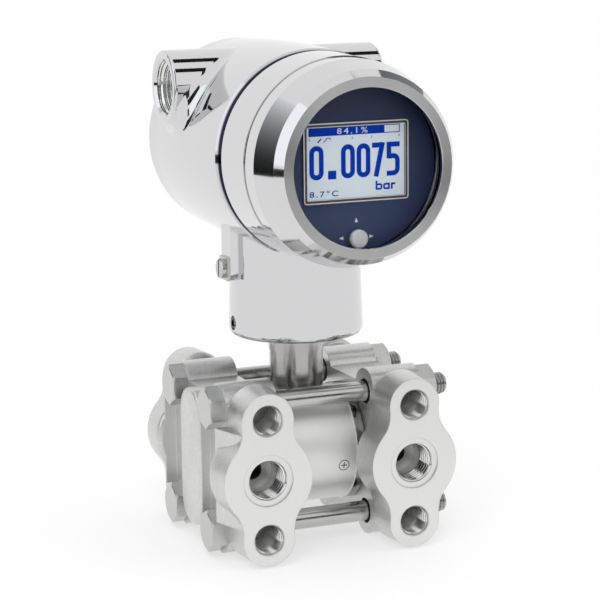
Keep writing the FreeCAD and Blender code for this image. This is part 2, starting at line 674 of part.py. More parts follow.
def clamping_bolts():
    """Four hexagon bolts along X, each with its nut on the right flange."""
    for name, side_y, side_z in (("front_top", -1, 1), ("front_low", -1, -1),
                                 ("rear_top", 1, 1), ("rear_low", 1, -1)):
        base = (0, S.face_half + side_y * S.bolt_y, side_z * S.bolt_z)
        bolt = hex_body("tie_bolt_" + name, base, -(SEAT_X + S.head_thk), S.head_thk, (-1,))
        shank = new_sketch(bolt, "XZ_Plane")
        tip = S.bolt_len - SEAT_X
        outline(shank, [(-(SEAT_X + 1), 0), (-(SEAT_X + 1), S.shank_r), (tip - S.thread_len, S.shank_r),
                        (tip - S.thread_len, S.thread_r), (tip - S.tip_chamfer, S.thread_r),
                        (tip, S.thread_r - S.tip_chamfer), (tip, 0)])
        feature(bolt, "Revolution", shank, axis="H_Axis")
        nut = hex_body("tie_nut_" + name, base, SEAT_X, S.nut_thk, (-1, 1))
        bore = new_sketch(nut, "YZ_Plane", SEAT_X)
        circle(bore, (0, 0), S.thread_r + S.nut_clear)
        feature(nut, "Pocket", bore, length=S.nut_thk, Reversed=True)


def rear_plugs():
    """Socket screw plugs that close the two rear process ports."""
    for name, side in (("left", -1), ("right", 1)):
        plug = new_body("rear_plug_" + name, (side * PORT_X, S.face_half, 0))
        start = S.face_half - S.plug_sink - S.plug_len
        sketch = new_sketch(plug, "XZ_Plane", -start)
        circle(sketch, (0, 0), S.port_r - S.plug_clear)
        feature(plug, "Pad", sketch, length=S.plug_len, Reversed=True)
        socket = new_sketch(plug, "XZ_Plane", S.plug_sink - S.face_half)
        hexagon(socket, (0, 0), S.plug_hex)
        feature(plug, "Pocket", socket, length=S.plug_hex_depth, Reversed=True)


def stem_pieces():
    """The stem with its collar, seal, retaining ring and sealed header."""
    top = WEB_TOP + S.stem_rise
    seal_z = S.neck_z + S.seal_groove_z
    half = S.seal_wire_r + 0.15
    groove_r = S.stem_r - 2 * S.seal_wire_r - 0.05
    clip_z = WEB_TOP + 0.3
    lock_z = S.neck_z + S.lock_z
    lock_half = S.lock_r + 0.4
    lock_r = S.stem_r - S.lock_groove_sink
    clip_r = S.stem_r - S.circlip_sink
    turned("stem", CELL, "Z", [
        (S.stem_seat_z, S.stem_bore_r), (S.stem_seat_z, S.stem_r),
        (S.neck_z - S.collar_len, S.stem_r), (S.neck_z - S.collar_len, S.collar_r),
        (S.neck_z, S.collar_r), (S.neck_z, S.stem_r),
        (lock_z - lock_half, S.stem_r), (lock_z - lock_half, lock_r),
        (lock_z + lock_half, lock_r), (lock_z + lock_half, S.stem_r),
        (seal_z - half, S.stem_r), (seal_z - half, groove_r),
        (seal_z + half, groove_r), (seal_z + half, S.stem_r),
        (clip_z, S.stem_r), (clip_z, clip_r),
        (clip_z + S.circlip_thk, clip_r), (clip_z + S.circlip_thk, S.stem_r),
        (top, S.stem_r), (top, S.stem_bore_r)])
    seal = new_body("stem_seal", CELL)
    section = new_sketch(seal, "XZ_Plane")
    circle(section, (groove_r + S.seal_wire_r + 0.02, seal_z), S.seal_wire_r)
    feature(seal, "Revolution", section, axis="V_Axis")
    ring("stem_circlip", CELL, "Z", clip_z, clip_z + S.circlip_thk, clip_r, S.circlip_r)
    ring("stem_header", CELL, "Z", top, top + S.header_len, 0, S.header_r)


def housing():
    """The cast head: barrel, collar, neck, two cable entries and two compartments."""
    shoulder = S.groove_len - S.collar_end
    barrel = [(-(S.front_seam + S.front_spigot), 0), (-(S.front_seam + S.front_spigot), S.spigot_r),
              (-S.front_seam, S.spigot_r), (-S.front_seam, S.flange_r),
              (-S.collar_end, S.collar_end_r), (0.8 - S.collar_end, S.groove_r),
              (shoulder, S.groove_r), (shoulder, S.shoulder_r),
              (shoulder + S.shoulder_len, S.barrel_front_r),
              ("via", S.barrel_mid_y, S.barrel_mid_r),
              (S.rear_seam, S.barrel_rear_r), (S.rear_seam, S.spigot_r),
              (S.rear_seam + S.rear_spigot, S.spigot_r), (S.rear_seam + S.rear_spigot, 0)]
    body = turned("transmitter_housing", HEAD, "Y", barrel)
    bosses = new_sketch(body, "YZ_Plane")
    circle(bosses, (S.entry_y, S.entry_z), S.entry_boss_r)
    feature(body, "Pad", bosses, length=2 * S.entry_x, SideType="Symmetric")
    rims = edges_of(body, lambda e: any(round_edge(e, 0, side * S.entry_x, S.entry_boss_r)
                                        for side in (-1, 1)))
    dress(body, "Fillet", rims, S.boss_edge)
    feet = edges_of(body, lambda e: is_boss_foot(e))
    dress(body, "Fillet", feet, S.entry_round)
    neck = new_sketch(body, "XZ_Plane")
    outline(neck, [(0, NECK_LOW), (S.neck_low_r, NECK_LOW), (S.neck_top_r, NECK_LOW + S.neck_taper_len),
                   (S.neck_top_r, -S.neck_bore_r), (0, -S.neck_bore_r)])
    feature(body, "Revolution", neck, axis="V_Axis")
    low = edges_of(body, lambda e: round_edge(e, 2, NECK_LOW, S.neck_low_r))
    dress(body, "Fillet", low, S.neck_round)
    earth = new_sketch(body, "YZ_Plane", -S.earth_face)
    outline(earth, [(-S.earth_half_y, S.earth_half_y - S.earth_low_z),
                    ("via", 0, -S.earth_low_z),
                    (S.earth_half_y, S.earth_half_y - S.earth_low_z),
                    (S.earth_half_y, -S.neck_top_r), (-S.earth_half_y, -S.neck_top_r)])
    feature(body, "Pad", earth, length=S.earth_face - S.neck_bore_r)
    hollows(body)
    return body


def is_boss_foot(edge):
    """The closed curves where the entry bosses leave the barrel."""
    box = edge.BoundBox
    low, high = float(S.entry_y - S.entry_boss_r), float(S.entry_y + S.entry_boss_r)
    if box.YMin < low - 0.5 or box.YMax > high + 0.5 or box.ZMin < 0:
        return False
    inside = box.XMax < float(S.entry_x) - 2 and box.XMin > 2 - float(S.entry_x)
    return inside and edge.Curve.TypeId != "Part::GeomCircle"


def hollows(body):
    """Compartments, neck chamber, cable entries and the screw holes of the housing."""
    front_end = S.front_seam + S.front_spigot
    front = new_sketch(body, "YZ_Plane")
    outline(front, [(-front_end, 0), (-front_end, S.cavity_r), (-S.ledge_y, S.cavity_r),
                    (-S.ledge_y, S.ledge_r), (S.wall_front, S.ledge_r), (S.wall_front, 0)])
    feature(body, "Groove", front, axis="H_Axis")
    rear_end = S.rear_seam + S.rear_spigot
    rear = new_sketch(body, "YZ_Plane")
    outline(rear, [(WALL_REAR, 0), (WALL_REAR, S.cavity_r), (rear_end, S.cavity_r), (rear_end, 0)])
    feature(body, "Groove", rear, axis="H_Axis")
    web_top = WEB_TOP - S.head_z
    throat = new_sketch(body, "XZ_Plane")
    bore_r = S.stem_r + S.turn_clear
    outline(throat, [(0, NECK_LOW), (bore_r, NECK_LOW), (bore_r, web_top), (S.neck_bore_r, web_top),
                     (S.neck_bore_r, -S.ledge_r), (0, -S.ledge_r)])
    feature(body, "Groove", throat, axis="V_Axis")
    for left in (True, False):
        entry = new_sketch(body, "YZ_Plane", -S.entry_x if left else S.entry_x)
        circle(entry, (S.entry_y, S.entry_z), S.entry_bore_r)
        feature(body, "Pocket", entry, length=S.entry_x - S.entry_end_x, Reversed=left)
    mouths = edges_of(body, lambda e: any(round_edge(e, 0, side * S.entry_x, S.entry_bore_r)
                                          for side in (-1, 1)))
    dress(body, "Chamfer", mouths, S.entry_mouth)
    feed = new_sketch(body, "XZ_Plane", -S.wall_front)
    circle(feed, (0, -S.feed_z), S.feed_r + S.turn_clear)
    feature(body, "Pocket", feed, length=S.wall_thk)
    lock = new_sketch(body, "YZ_Plane")
    circle(lock, (0, NECK_LOW + S.lock_z), S.lock_r + S.turn_clear)
    feature(body, "Pocket", lock, length=S.neck_low_r + 1)
    tapped = new_sketch(body, "YZ_Plane", S.earth_screw_len - S.earth_face)
    circle(tapped, (0, -S.earth_screw_z), S.earth_screw_r + S.turn_clear)
    feature(body, "Pocket", tapped, length=S.earth_screw_len)


def neck_screws():
    """The lock screw in the neck and the earth screw with its clamp."""
    lock = new_body("head_lock_screw", (0, S.face_half, S.neck_z + S.lock_z))
    inner = S.stem_r - S.lock_groove_sink + 0.3
    outer = S.neck_top_r - S.lock_sink
    sketch = new_sketch(lock, "YZ_Plane", -outer)
    circle(sketch, (0, 0), S.lock_r)
    feature(lock, "Pad", sketch, length=outer - inner)
    socket = new_sketch(lock, "YZ_Plane", -outer)
    hexagon(socket, (0, 0), S.lock_hex)
    feature(lock, "Pocket", socket, length=3, Reversed=True)
    screw_place = (0, S.face_half, S.head_z - S.earth_screw_z)
    face = S.earth_face + S.clamp_thk
    screw = turned("earth_screw", screw_place, "X", [
        (-(face + S.earth_head_thk), 0), (-(face + S.earth_head_thk), S.earth_head_r - 0.4),
        (0.4 - face - S.earth_head_thk, S.earth_head_r), (-face, S.earth_head_r),
        (-face, S.earth_screw_r), (S.earth_screw_len - face, S.earth_screw_r), (S.earth_screw_len - face, 0)])
    slot = new_sketch(screw, "YZ_Plane", -(face + S.earth_head_thk))
    rectangle(slot, (0, 0), 0.9, 2 * S.earth_head_r + 1)
    feature(screw, "Pocket", slot, length=0.9, Reversed=True)
    clamp = new_body("earth_clamp", screw_place)
    plate = new_sketch(clamp, "YZ_Plane", -face)
    rectangle(plate, (0, 0), 2 * S.earth_half_y - 0.6, 2 * S.earth_half_y - 0.6)
    circle(plate, (0, 0), S.earth_screw_r + S.turn_clear)
    feature(clamp, "Pad", plate, length=S.clamp_thk)


def front_cover_pieces():
    """The window cover: bevelled bezel, glass, gasket, retaining ring and seal."""
    seat_r = S.glass_r + S.glass_clear
    bevel_end = BEZEL_FACE + S.bezel_chamfer_len
    cone_end = bevel_end + S.cone_len
    seal_r = COVER_BORE_R + S.cover_seal_clear - S.thread_clear
    pocket_r = seal_r + S.cover_seal_w + 0.05
    pocket_y = COVER_REAR - S.cover_seal_len
    turned("front_cover", HEAD, "Y", [
        (BEZEL_FACE, S.window_r + 0.3), (BEZEL_FACE, S.bezel_ring_r), (bevel_end, S.bezel_edge_r),
        (cone_end, S.cover_r), (COVER_REAR, S.cover_r), (COVER_REAR, pocket_r), (pocket_y, pocket_r),
        (pocket_y, COVER_BORE_R), (RETAINER_REAR + 0.5, COVER_BORE_R), (RETAINER_REAR + 0.5, seat_r),
        (BEZEL_FACE + S.bezel_lip, seat_r), (BEZEL_FACE + S.bezel_lip, S.window_r),
        (BEZEL_FACE + 0.3, S.window_r)])
    ring("window_gasket", HEAD, "Y", BEZEL_FACE + S.bezel_lip, GLASS_FRONT,
         S.glass_r - S.gasket_width, S.glass_r)
    ring("window_glass", HEAD, "Y", GLASS_FRONT, GLASS_REAR, 0, S.glass_r)
    ring("window_retainer", HEAD, "Y", GLASS_REAR, RETAINER_REAR, S.retainer_r, S.glass_r)
    ring("front_cover_seal", HEAD, "Y", pocket_y, COVER_REAR, seal_r, seal_r + S.cover_seal_w)


def rear_cover_pieces():
    """The blind rear cover and its seal."""
    end = REAR_RIM + S.rear_cover_len
    seal_r = COVER_BORE_R + S.cover_seal_clear - S.thread_clear
    pocket_r = seal_r + S.cover_seal_w + 0.05
    pocket_y = REAR_RIM + S.cover_seal_len
    inner = end - S.rear_cover_wall
    cover = turned("rear_cover", HEAD, "Y", [
        (REAR_RIM, pocket_r), (REAR_RIM, S.rear_cover_r), (end, S.rear_cover_r), (end, 0),
        (inner, 0), (inner, COVER_BORE_R), (pocket_y, COVER_BORE_R), (pocket_y, pocket_r)])
    rim = edges_of(cover, lambda e: round_edge(e, 1, end, S.rear_cover_r))
    dress(cover, "Fillet", rim, S.rear_cover_edge)
    ring("rear_cover_seal", HEAD, "Y", REAR_RIM, pocket_y, seal_r, seal_r + S.cover_seal_w)


def display_pieces():
    """The display plate, screen, screen frame, carrier and display board."""
    plate = new_body("display_plate", HEAD)
    disc = new_sketch(plate, "XZ_Plane", -PLATE_REAR)
    circle(disc, (0, 0), S.plate_r)
    circle(disc, (0, -S.stick_z), S.stick_hole_r)
    rectangle(disc, (0, S.screen_z), S.screen_w, S.screen_h)
    feature(plate, "Pad", disc, length=S.plate_thk)
    frame = new_body("screen_frame", HEAD)
    bars = new_sketch(frame, "XZ_Plane", S.plate_y)
    rectangle(bars, (0, S.screen_z), S.screen_w, S.screen_h)
    rectangle(bars, (0, S.screen_z), S.screen_w + 2 * S.frame_w, S.screen_h + 2 * S.frame_w)
    feature(frame, "Pad", bars, length=S.frame_rise)
    half_w, half_h = S.screen_w / 2 + S.frame_w, S.screen_h / 2 + S.frame_w
    corners = edges_of(frame, lambda e: is_post_edge(e, half_w, half_h, S.screen_z))
    dress(frame, "Fillet", corners, S.frame_corner_r)
    screen = new_body("screen_module", HEAD)
    panel = new_sketch(screen, "XZ_Plane", S.display_board_y)
    rectangle(panel, (0, S.screen_z), S.screen_w - 2 * S.screen_fit, S.screen_h - 2 * S.screen_fit)
    feature(screen, "Pad", panel, length=S.plate_y + S.screen_rise - S.display_board_y)
    inner_r = S.plate_r - S.carrier_wall
    back = CARRIER_REAR - S.carrier_wall
    carrier = turned("display_carrier", HEAD, "Y", [
        (PLATE_REAR, inner_r), (PLATE_REAR, S.plate_r), (CARRIER_REAR, S.plate_r), (CARRIER_REAR, 0),
        (back, 0), (back, inner_r)])
    posts = new_sketch(carrier, "XZ_Plane", -back)
    for side_x in (-1, 1):
        for side_z in (-1, 1):
            circle(posts, (side_x * S.post_x, side_z * S.post_z), S.post_r)
    board_rear = S.board_thk - S.display_board_y
    feature(carrier, "Pad", posts, length=back - board_rear, AllowMultiFace=True)
    ring("display_board", HEAD, "Y", -S.display_board_y, board_rear, 0, inner_r - S.board_fit)


def is_post_edge(edge, half_w, half_h, height):
    """The corner edges, along Y, of a rectangle drawn about (0, height)."""
    if edge.Curve.TypeId != "Part::GeomLine" or abs(edge.Curve.Direction.y) < 0.99:
        return False
    point = edge.Vertexes[0].Point
    off_x = abs(abs(point.x) - float(half_w))
    off_z = abs(abs(point.z - float(height)) - float(half_h))
    return off_x < 0.01 and off_z < 0.01


def joystick_pieces():
    """A four-way joystick with a press: base, gimbal ring, yoke and cap on its pin."""
    place = (0, S.face_half, S.head_z - S.stick_z)
    base = new_body("joystick_base", place)
    square = new_sketch(base, "XZ_Plane", S.display_board_y)
    rectangle(square, (0, 0), S.stick_base_w, S.stick_base_w)
    feature(base, "Pad", square, length=S.stick_base_len)
    cup = new_sketch(base, "XZ_Plane", S.display_board_y + S.stick_base_floor)
    circle(cup, (0, 0), S.stick_cup_r)
    feature(base, "Pocket", cup, length=S.stick_base_len, Reversed=True)
    ring("joystick_gimbal", place, "Y", -(S.stick_pivot + S.gimbal_len / 2),
         S.gimbal_len / 2 - S.stick_pivot, S.gimbal_in_r, S.gimbal_out_r)
    yoke_front = -(S.stick_pivot + S.yoke_len / 2)
    ring("joystick_yoke", place, "Y", yoke_front, yoke_front + S.yoke_len, S.yoke_in_r, S.yoke_out_r)
    neck = yoke_front - 0.6
    cap_rear = S.stick_cap_thk - S.stick_front
    turned("joystick_cap", place, "Y", [
        (-S.stick_front, 0), (-S.stick_front, S.stick_cap_r - 0.5), (0.5 - S.stick_front, S.stick_cap_r),
        (cap_rear, S.stick_cap_r), (cap_rear, S.stick_shaft_r), (neck, S.stick_shaft_r),
        (neck, S.stick_pin_r), (yoke_front + S.yoke_len - 0.6, S.stick_pin_r),
        (yoke_front + S.yoke_len - 0.6, 0)])


def electronics_pieces():
    """The electronics can with its two boards, spacer and lid."""
    lid_front = S.board_thk - S.supply_y
    inner_r = S.can_r - S.can_wall
    board_r = inner_r - S.board_fit
    main_rear = S.board_thk - S.can_step_y
    turned("electronics_can", HEAD, "Y", [
        (CARRIER_REAR, 0), (CARRIER_REAR, S.can_r), (lid_front, S.can_r),
        (lid_front, S.plate_r), (-S.ledge_y, S.plate_r), (-S.ledge_y, inner_r),
        (-S.can_step_y, inner_r), (-S.can_step_y, S.can_step_r),
        (CARRIER_REAR + S.can_wall, S.can_step_r), (CARRIER_REAR + S.can_wall, 0)])
    ring("main_board", HEAD, "Y", -S.can_step_y, main_rear, 0, board_r)
    ring("board_spacer", HEAD, "Y", main_rear, -S.supply_y, board_r - S.spacer_w, board_r)
    ring("supply_board", HEAD, "Y", -S.supply_y, lid_front, 0, board_r)
    ring("can_lid", HEAD, "Y", lid_front, -S.ledge_y, 0, board_r)


def terminal_pieces():
    """The feedthrough in the dividing wall and the terminal block behind it."""
    ring("wall_feedthrough", (0, S.face_half, S.head_z - S.feed_z), "Y",
         S.wall_front - 2, WALL_REAR, 0, S.feed_r)
    block = new_body("terminal_block", HEAD)
    middle = S.block_h / 2 - S.block_low
    body = new_sketch(block, "XZ_Plane", -WALL_REAR)
    rectangle(body, (0, middle), S.block_w, S.block_h)
    feature(block, "Pad", body, length=S.block_d, Reversed=True)
    face = WALL_REAR + S.block_d
    wells = new_sketch(block, "XZ_Plane", -face)
    screws = new_body("terminal_screws", HEAD)
    heads = new_sketch(screws, "XZ_Plane", S.terminal_depth - face)
    for place in (-1.5, -0.5, 0.5, 1.5):
        circle(wells, (place * S.terminal_pitch, middle), S.terminal_r)
        circle(heads, (place * S.terminal_pitch, middle), S.terminal_screw_r)
    feature(block, "Pocket", wells, length=S.terminal_depth, Reversed=True)
    feature(screws, "Pad", heads, length=S.terminal_screw_len, Reversed=True, AllowMultiFace=True)
    slots = new_sketch(screws, "XZ_Plane", S.terminal_depth - face - S.terminal_screw_len)
    rectangle(slots, (0, middle), 4 * S.terminal_pitch, S.terminal_slot)
    feature(screws, "Pocket", slots, length=S.terminal_slot, Reversed=True)


def write_parts():
    """Check every object and every solid, then write one STEP file for each node."""
    doc.recompute()
    for item in doc.Objects:
        if "Invalid" in item.State or "Error" in item.State:
            raise ValueError(f"{item.Label} failed: {item.State}")
    os.makedirs("parts", exist_ok=True)
    for node in NODES:
        shape = node.Shape
        if shape.isNull() or not shape.isValid() or not shape.Solids:
            raise ValueError(f"{node.Label} is not a valid solid")
        shape.exportStep(f"parts/{node.Label}.step")
        print(f"{node.Label:24s} {shape.Volume:12.2f} mm3  {len(shape.Solids)} solid(s)")


process_flange("process_flange_right", 0)
process_flange("process_flange_left", 180)
measuring_cell()
cell_inserts()
clamping_bolts()
rear_plugs()
stem_pieces()
housing()
neck_screws()
front_cover_pieces()
rear_cover_pieces()
display_pieces()
joystick_pieces()
electronics_pieces()
terminal_pieces()
write_parts()
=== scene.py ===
"""Looks of the differential pressure transmitter: metals, threads, display and studio.

Lengths are metres in the part's frame.  Sizes that belong to one piece are written in
millimetres and turned into metres by MM.  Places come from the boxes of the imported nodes.
"""
import json
import math

import bmesh
import bpy
import numpy as np
from mathutils import Matrix, Vector


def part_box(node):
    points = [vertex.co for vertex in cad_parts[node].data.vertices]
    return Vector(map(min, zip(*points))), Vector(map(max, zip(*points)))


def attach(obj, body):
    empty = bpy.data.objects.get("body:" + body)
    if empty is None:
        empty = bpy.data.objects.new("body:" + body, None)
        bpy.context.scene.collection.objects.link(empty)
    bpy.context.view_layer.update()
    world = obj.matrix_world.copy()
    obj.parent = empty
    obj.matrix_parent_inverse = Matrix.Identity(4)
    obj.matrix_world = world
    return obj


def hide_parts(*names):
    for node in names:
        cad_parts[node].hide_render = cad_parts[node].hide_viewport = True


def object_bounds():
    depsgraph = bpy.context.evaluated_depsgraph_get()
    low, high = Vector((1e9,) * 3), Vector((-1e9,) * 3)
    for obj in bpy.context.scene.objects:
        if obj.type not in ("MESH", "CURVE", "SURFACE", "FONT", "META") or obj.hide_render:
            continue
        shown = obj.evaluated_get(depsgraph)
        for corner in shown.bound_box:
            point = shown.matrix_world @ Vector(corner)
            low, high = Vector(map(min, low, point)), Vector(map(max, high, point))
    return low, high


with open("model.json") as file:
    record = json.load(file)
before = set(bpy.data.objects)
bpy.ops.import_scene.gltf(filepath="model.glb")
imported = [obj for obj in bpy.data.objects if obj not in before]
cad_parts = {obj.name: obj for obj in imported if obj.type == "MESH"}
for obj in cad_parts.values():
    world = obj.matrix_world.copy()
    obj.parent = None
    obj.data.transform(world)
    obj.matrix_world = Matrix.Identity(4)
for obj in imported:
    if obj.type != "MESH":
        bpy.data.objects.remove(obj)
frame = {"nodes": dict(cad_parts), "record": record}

CAD_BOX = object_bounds()
MM = 0.001
BODIES = frame["record"]["behaviour"]["bodies"]
BODY_OF = {node: body for body, nodes in BODIES.items() for node in nodes}


# ---------------------------------------------------------------- places from the frame

def middle(node):
    """Centre of a node's box."""
    low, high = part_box(node)
    return (low + high) / 2


def reach(node, axis):
    """Lowest and highest coordinate of a node's box along one axis, in millimetres."""
    low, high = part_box(node)
    return low[axis] / MM, high[axis] / MM


STEM_Y = middle("stem").y
HEAD_Z = middle("rear_cover").z
CELL_Z = middle("measuring_cell").z
HEAD = Vector((0, STEM_Y, HEAD_Z))
CELL = Vector((0, STEM_Y, CELL_Z))
STICK = middle("joystick_cap")
SCREEN_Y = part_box("screen_module")[0].y / MM


# ---------------------------------------------------------------- sizes of single forms, in mm

# The corner between a cable entry boss and the barrel: a ball of ENTRY_ROUND rolls along it.
ENTRY = Vector((0, STEM_Y + 22.6 * MM, HEAD_Z + 21.0 * MM))
ENTRY_BOSS_R = 12.95
ENTRY_ROUND = 5.0
ENTRY_ZONE = 30 * MM
BARREL_R = 36.3
BARREL_FALL = 0.00072
BARREL_FULLEST = 12.0

# The groove behind the front collar, along Y from the stem's axis, how low its painted shade reaches, and
# where that painted shade fades out along Y.
GROOVE_Y = (-21.9, -18.6)
GROOVE_R = 35.6
GROOVE_LOWEST = -30.0
GROOVE_SHADE_FULL_Y = -19.5
GROOVE_SHADE_GONE_Y = -18.9

# Threads: root radius, crest radius and pitch.
BOLT_THREAD = (3.38, 3.95, 1.25)
ENTRY_THREAD = (9.24, 8.5, 1.5)
SCREW_THREAD = (5.14, 4.50, 1.45)
PORT_THREAD = (6.84, 6.1, 1.55)

# Where each thread starts and ends, measured in from the face that its hole or bolt opens at.
BOLT_SPAN = (7, 0.5)
ENTRY_SPAN = (1.4, 13.5)
SCREW_SPAN = (0.5, 14.6)
PORT_SPAN = (0.9, 10.5)

# Places of the process ports and their mounting holes, and the turned-down end of a bolt.
PORT_SIDE = 27.0
SCREW_RISE = 20.65
TURNED_LENGTH = 25
TURNED_R = 3.4
SHANK_SKIN_R = 3.8

# The display: its dots, the five tall figures, the ticks of its scale and the plate round it.
DOT_PITCH = 0.27
DOT_GAP = 0.03
FIGURES = (("0", -16.4, -11.4), ("0", -5.3, -0.4), ("0", 0.2, 5.1), ("7", 5.7, 10.4), ("5", 10.9, 15.6))
FIGURE_LOW, FIGURE_HIGH, FIGURE_STROKE = -4.1, 7.0, 1.65
TICKS = (-16.3, -9.0, -1.3, 5.6, 15.4)
PLATE_R = 28
PRINT_LIFT = 0.03
PRINT_STEP = 0.003

# The cell's barrel lies a step inside its end bands.
CELL_STEP = 0.5
CELL_AROUND = 144

SMOOTH_ANGLE = 24


# ---------------------------------------------------------------- node helpers

def feed(tree, value, socket):
    """Link a socket to another one, or set it from a plain value."""
    if isinstance(value, bpy.types.NodeSocket):
        tree.links.new(value, socket)
    else:
        socket.default_value = value


def maths(tree, operation, *values):
    """A maths node from sockets or plain numbers; gives its output socket."""
    node = tree.nodes.new("ShaderNodeMath")
    node.operation = operation
    for number, value in enumerate(values):
        feed(tree, value, node.inputs[number])
    return node.outputs[0]


def ramp(tree, value, start, end, low=0.0, high=1.0, interpolation="LINEAR"):
    """Map a socket from start..end to low..high and clamp it; gives the output socket."""
    node = tree.nodes.new("ShaderNodeMapRange")
    node.interpolation_type = interpolation
    for number, part in enumerate((value, start, end, low, high)):
        feed(tree, part, node.inputs[number])
    return node.outputs[0]


MIX_SOCKETS = {"FLOAT": (2, 3, 0), "RGBA": (6, 7, 2)}


def blend(tree, kind, share, first, second):
    """A Mix node between two values or two colours; gives its output socket."""
    node = tree.nodes.new("ShaderNodeMix")
    node.data_type = kind
    one, other, result = MIX_SOCKETS[kind]
    for number, part in ((0, share), (one, first), (other, second)):
        feed(tree, part, node.inputs[number])
    return node.outputs[result]


def object_place(tree):
    """Socket of the Object coordinates."""
    return tree.nodes.new("ShaderNodeTexCoord").outputs["Object"]


def one_axis(tree, place, axis):
    """Socket of one coordinate of a vector socket."""
    parts = tree.nodes.new("ShaderNodeSeparateXYZ")
    tree.links.new(place, parts.inputs[0])
    return parts.outputs[axis]


# ---------------------------------------------------------------- camera and studio

VIEW_TURN = -22.2
VIEW_RISE = 10.98
VIEW_ROLL = -0.685
VIEW_DISTANCE = 736.1 * MM
VIEW_LENS = 123.5
VIEW_SIDE = 0.97 * MM
VIEW_HEIGHT = 51.4 * MM
WORLD_LEVEL = 0.62
FLOOR_REACH = 14.0
FLOOR_GAP = 0.2 * MM
SHADOW_REACH = (0.04, 0.24)
SHADOW_SHARE = (0.58, 1.0)
CARD_WHITE = (0.94, 0.97, 1.0, 1)


def add_camera():
    """Camera on a sphere round the measuring cell: turned, raised and rolled by three angles."""
    turn, rise, roll = (math.radians(v) for v in (VIEW_TURN, VIEW_RISE, VIEW_ROLL))
    back = Vector((math.sin(turn) * math.cos(rise), -math.cos(turn) * math.cos(rise), math.sin(rise)))
    level = Vector((math.cos(turn), math.sin(turn), 0))
    upward = back.cross(level)
    right = level * math.cos(roll) + upward * math.sin(roll)
    up = upward * math.cos(roll) - level * math.sin(roll)
    data = bpy.data.cameras.new("camera")
    data.lens = VIEW_LENS
    data.sensor_width = 36
    data.clip_start = 0.05
    camera = bpy.data.objects.new("camera", data)
    camera.matrix_world = Matrix((right, up, back)).transposed().to_4x4()
    camera.location = CELL + back * VIEW_DISTANCE + right * VIEW_SIDE + up * VIEW_HEIGHT
    bpy.context.scene.collection.objects.link(camera)
    bpy.context.scene.camera = camera


def link(obj):
    """Put an object in the scene and give it back."""
    bpy.context.scene.collection.objects.link(obj)
    return obj


def sheet(name, corners):
    """An object with one four-cornered face."""
    mesh = bpy.data.meshes.new(name)
    mesh.from_pydata(corners, [], [(0, 1, 2, 3)])
    return link(bpy.data.objects.new(name, mesh))


def heading(bearing, rise):
    """Unit vector of a bearing (0 along +Y, 90 along +X) and a rise above the horizon, in degrees."""
    turn, lift = math.radians(bearing), math.radians(rise)
    return Vector((math.sin(turn) * math.cos(lift), math.cos(turn) * math.cos(lift), math.sin(lift)))


def add_card(name, bearing, low, high, width, distance, levels, power=1.0):
    """A standing studio card that only glossy surfaces see.

    It stands at a bearing and distance from the head's middle, between two heights.  Its glow
    goes from the first level at its lower edge to the second at its upper edge, as the height
    raised to a power.
    """
    half = width / 2
    card = sheet(name, [(-half, 0, low), (half, 0, low), (half, 0, high), (-half, 0, high)])
    place = heading(bearing, 0) * distance
    card.location = (HEAD.x + place.x, HEAD.y + place.y, 0)
    card.rotation_euler = (0, 0, -math.radians(bearing))
    glow_card(card, 2, low, high, levels, power)


def add_rail(name, side, tilt, length, thickness, levels):
    """A strip along X, a metre from the head's axis and facing it, with the same kind of glow.

    Its middle is moved to one side; its tilt is measured from +Y over the top, in degrees.
    """
    w, d = length / 2, thickness / 2
    card = sheet(name, [(-w, -d, 0), (w, -d, 0), (w, d, 0), (-w, d, 0)])
    lift = math.radians(tilt)
    card.location = HEAD + Vector((side, math.cos(lift), math.sin(lift)))
    card.rotation_euler = (lift - math.pi / 2, 0, 0)
    glow_card(card, 1, -d, d, levels)


def glow_card(card, axis, start, end, levels, power=1.0):
    """Emission that goes from one level to the other between two places along an axis of the card."""
    material = bpy.data.materials.new(card.name)
    material.use_nodes = True
    tree = material.node_tree
    tree.nodes.clear()
    share = ramp(tree, one_axis(tree, object_place(tree), axis), start, end)
    curve = maths(tree, "POWER", share, power)
    level = maths(tree, "MULTIPLY_ADD", curve, levels[1] - levels[0], levels[0])
    glow = tree.nodes.new("ShaderNodeEmission")
    glow.inputs["Color"].default_value = CARD_WHITE
    tree.links.new(level, glow.inputs["Strength"])
    tree.links.new(glow.outputs[0], tree.nodes.new("ShaderNodeOutputMaterial").inputs[0])
    card.data.materials.append(material)
    card.visible_camera = False
    card.visible_shadow = False
    card.visible_diffuse = False
    card.visible_transmission = False


def add_world():
    """Plain white to the eye and in reflections, and a softer white as light on the object."""
    world = bpy.data.worlds.new("studio")
    bpy.context.scene.world = world
    world.use_nodes = True
    tree = world.node_tree
    tree.nodes.clear()
    paths = tree.nodes.new("ShaderNodeLightPath").outputs
    seen = maths(tree, "MAXIMUM", paths["Is Camera Ray"], paths["Is Transmission Ray"])
    shown = maths(tree, "MAXIMUM", seen, paths["Is Glossy Ray"])
    back = tree.nodes.new("ShaderNodeBackground")
    back.inputs["Color"].default_value = (1, 1, 1, 1)
    level = maths(tree, "MULTIPLY_ADD", shown, 1.0 - WORLD_LEVEL, WORLD_LEVEL)
    tree.links.new(level, back.inputs["Strength"])
    tree.links.new(back.outputs[0], tree.nodes.new("ShaderNodeOutputWorld").inputs[0])


def add_floor():
    """A wide white floor just under the object."""
    z, far = CAD_BOX[0].z - FLOOR_GAP, FLOOR_REACH
    floor = sheet("floor", [(-far, -far, z), (far, -far, z), (far, far, z), (-far, far, z)])
    floor.data.materials.append(floor_material())


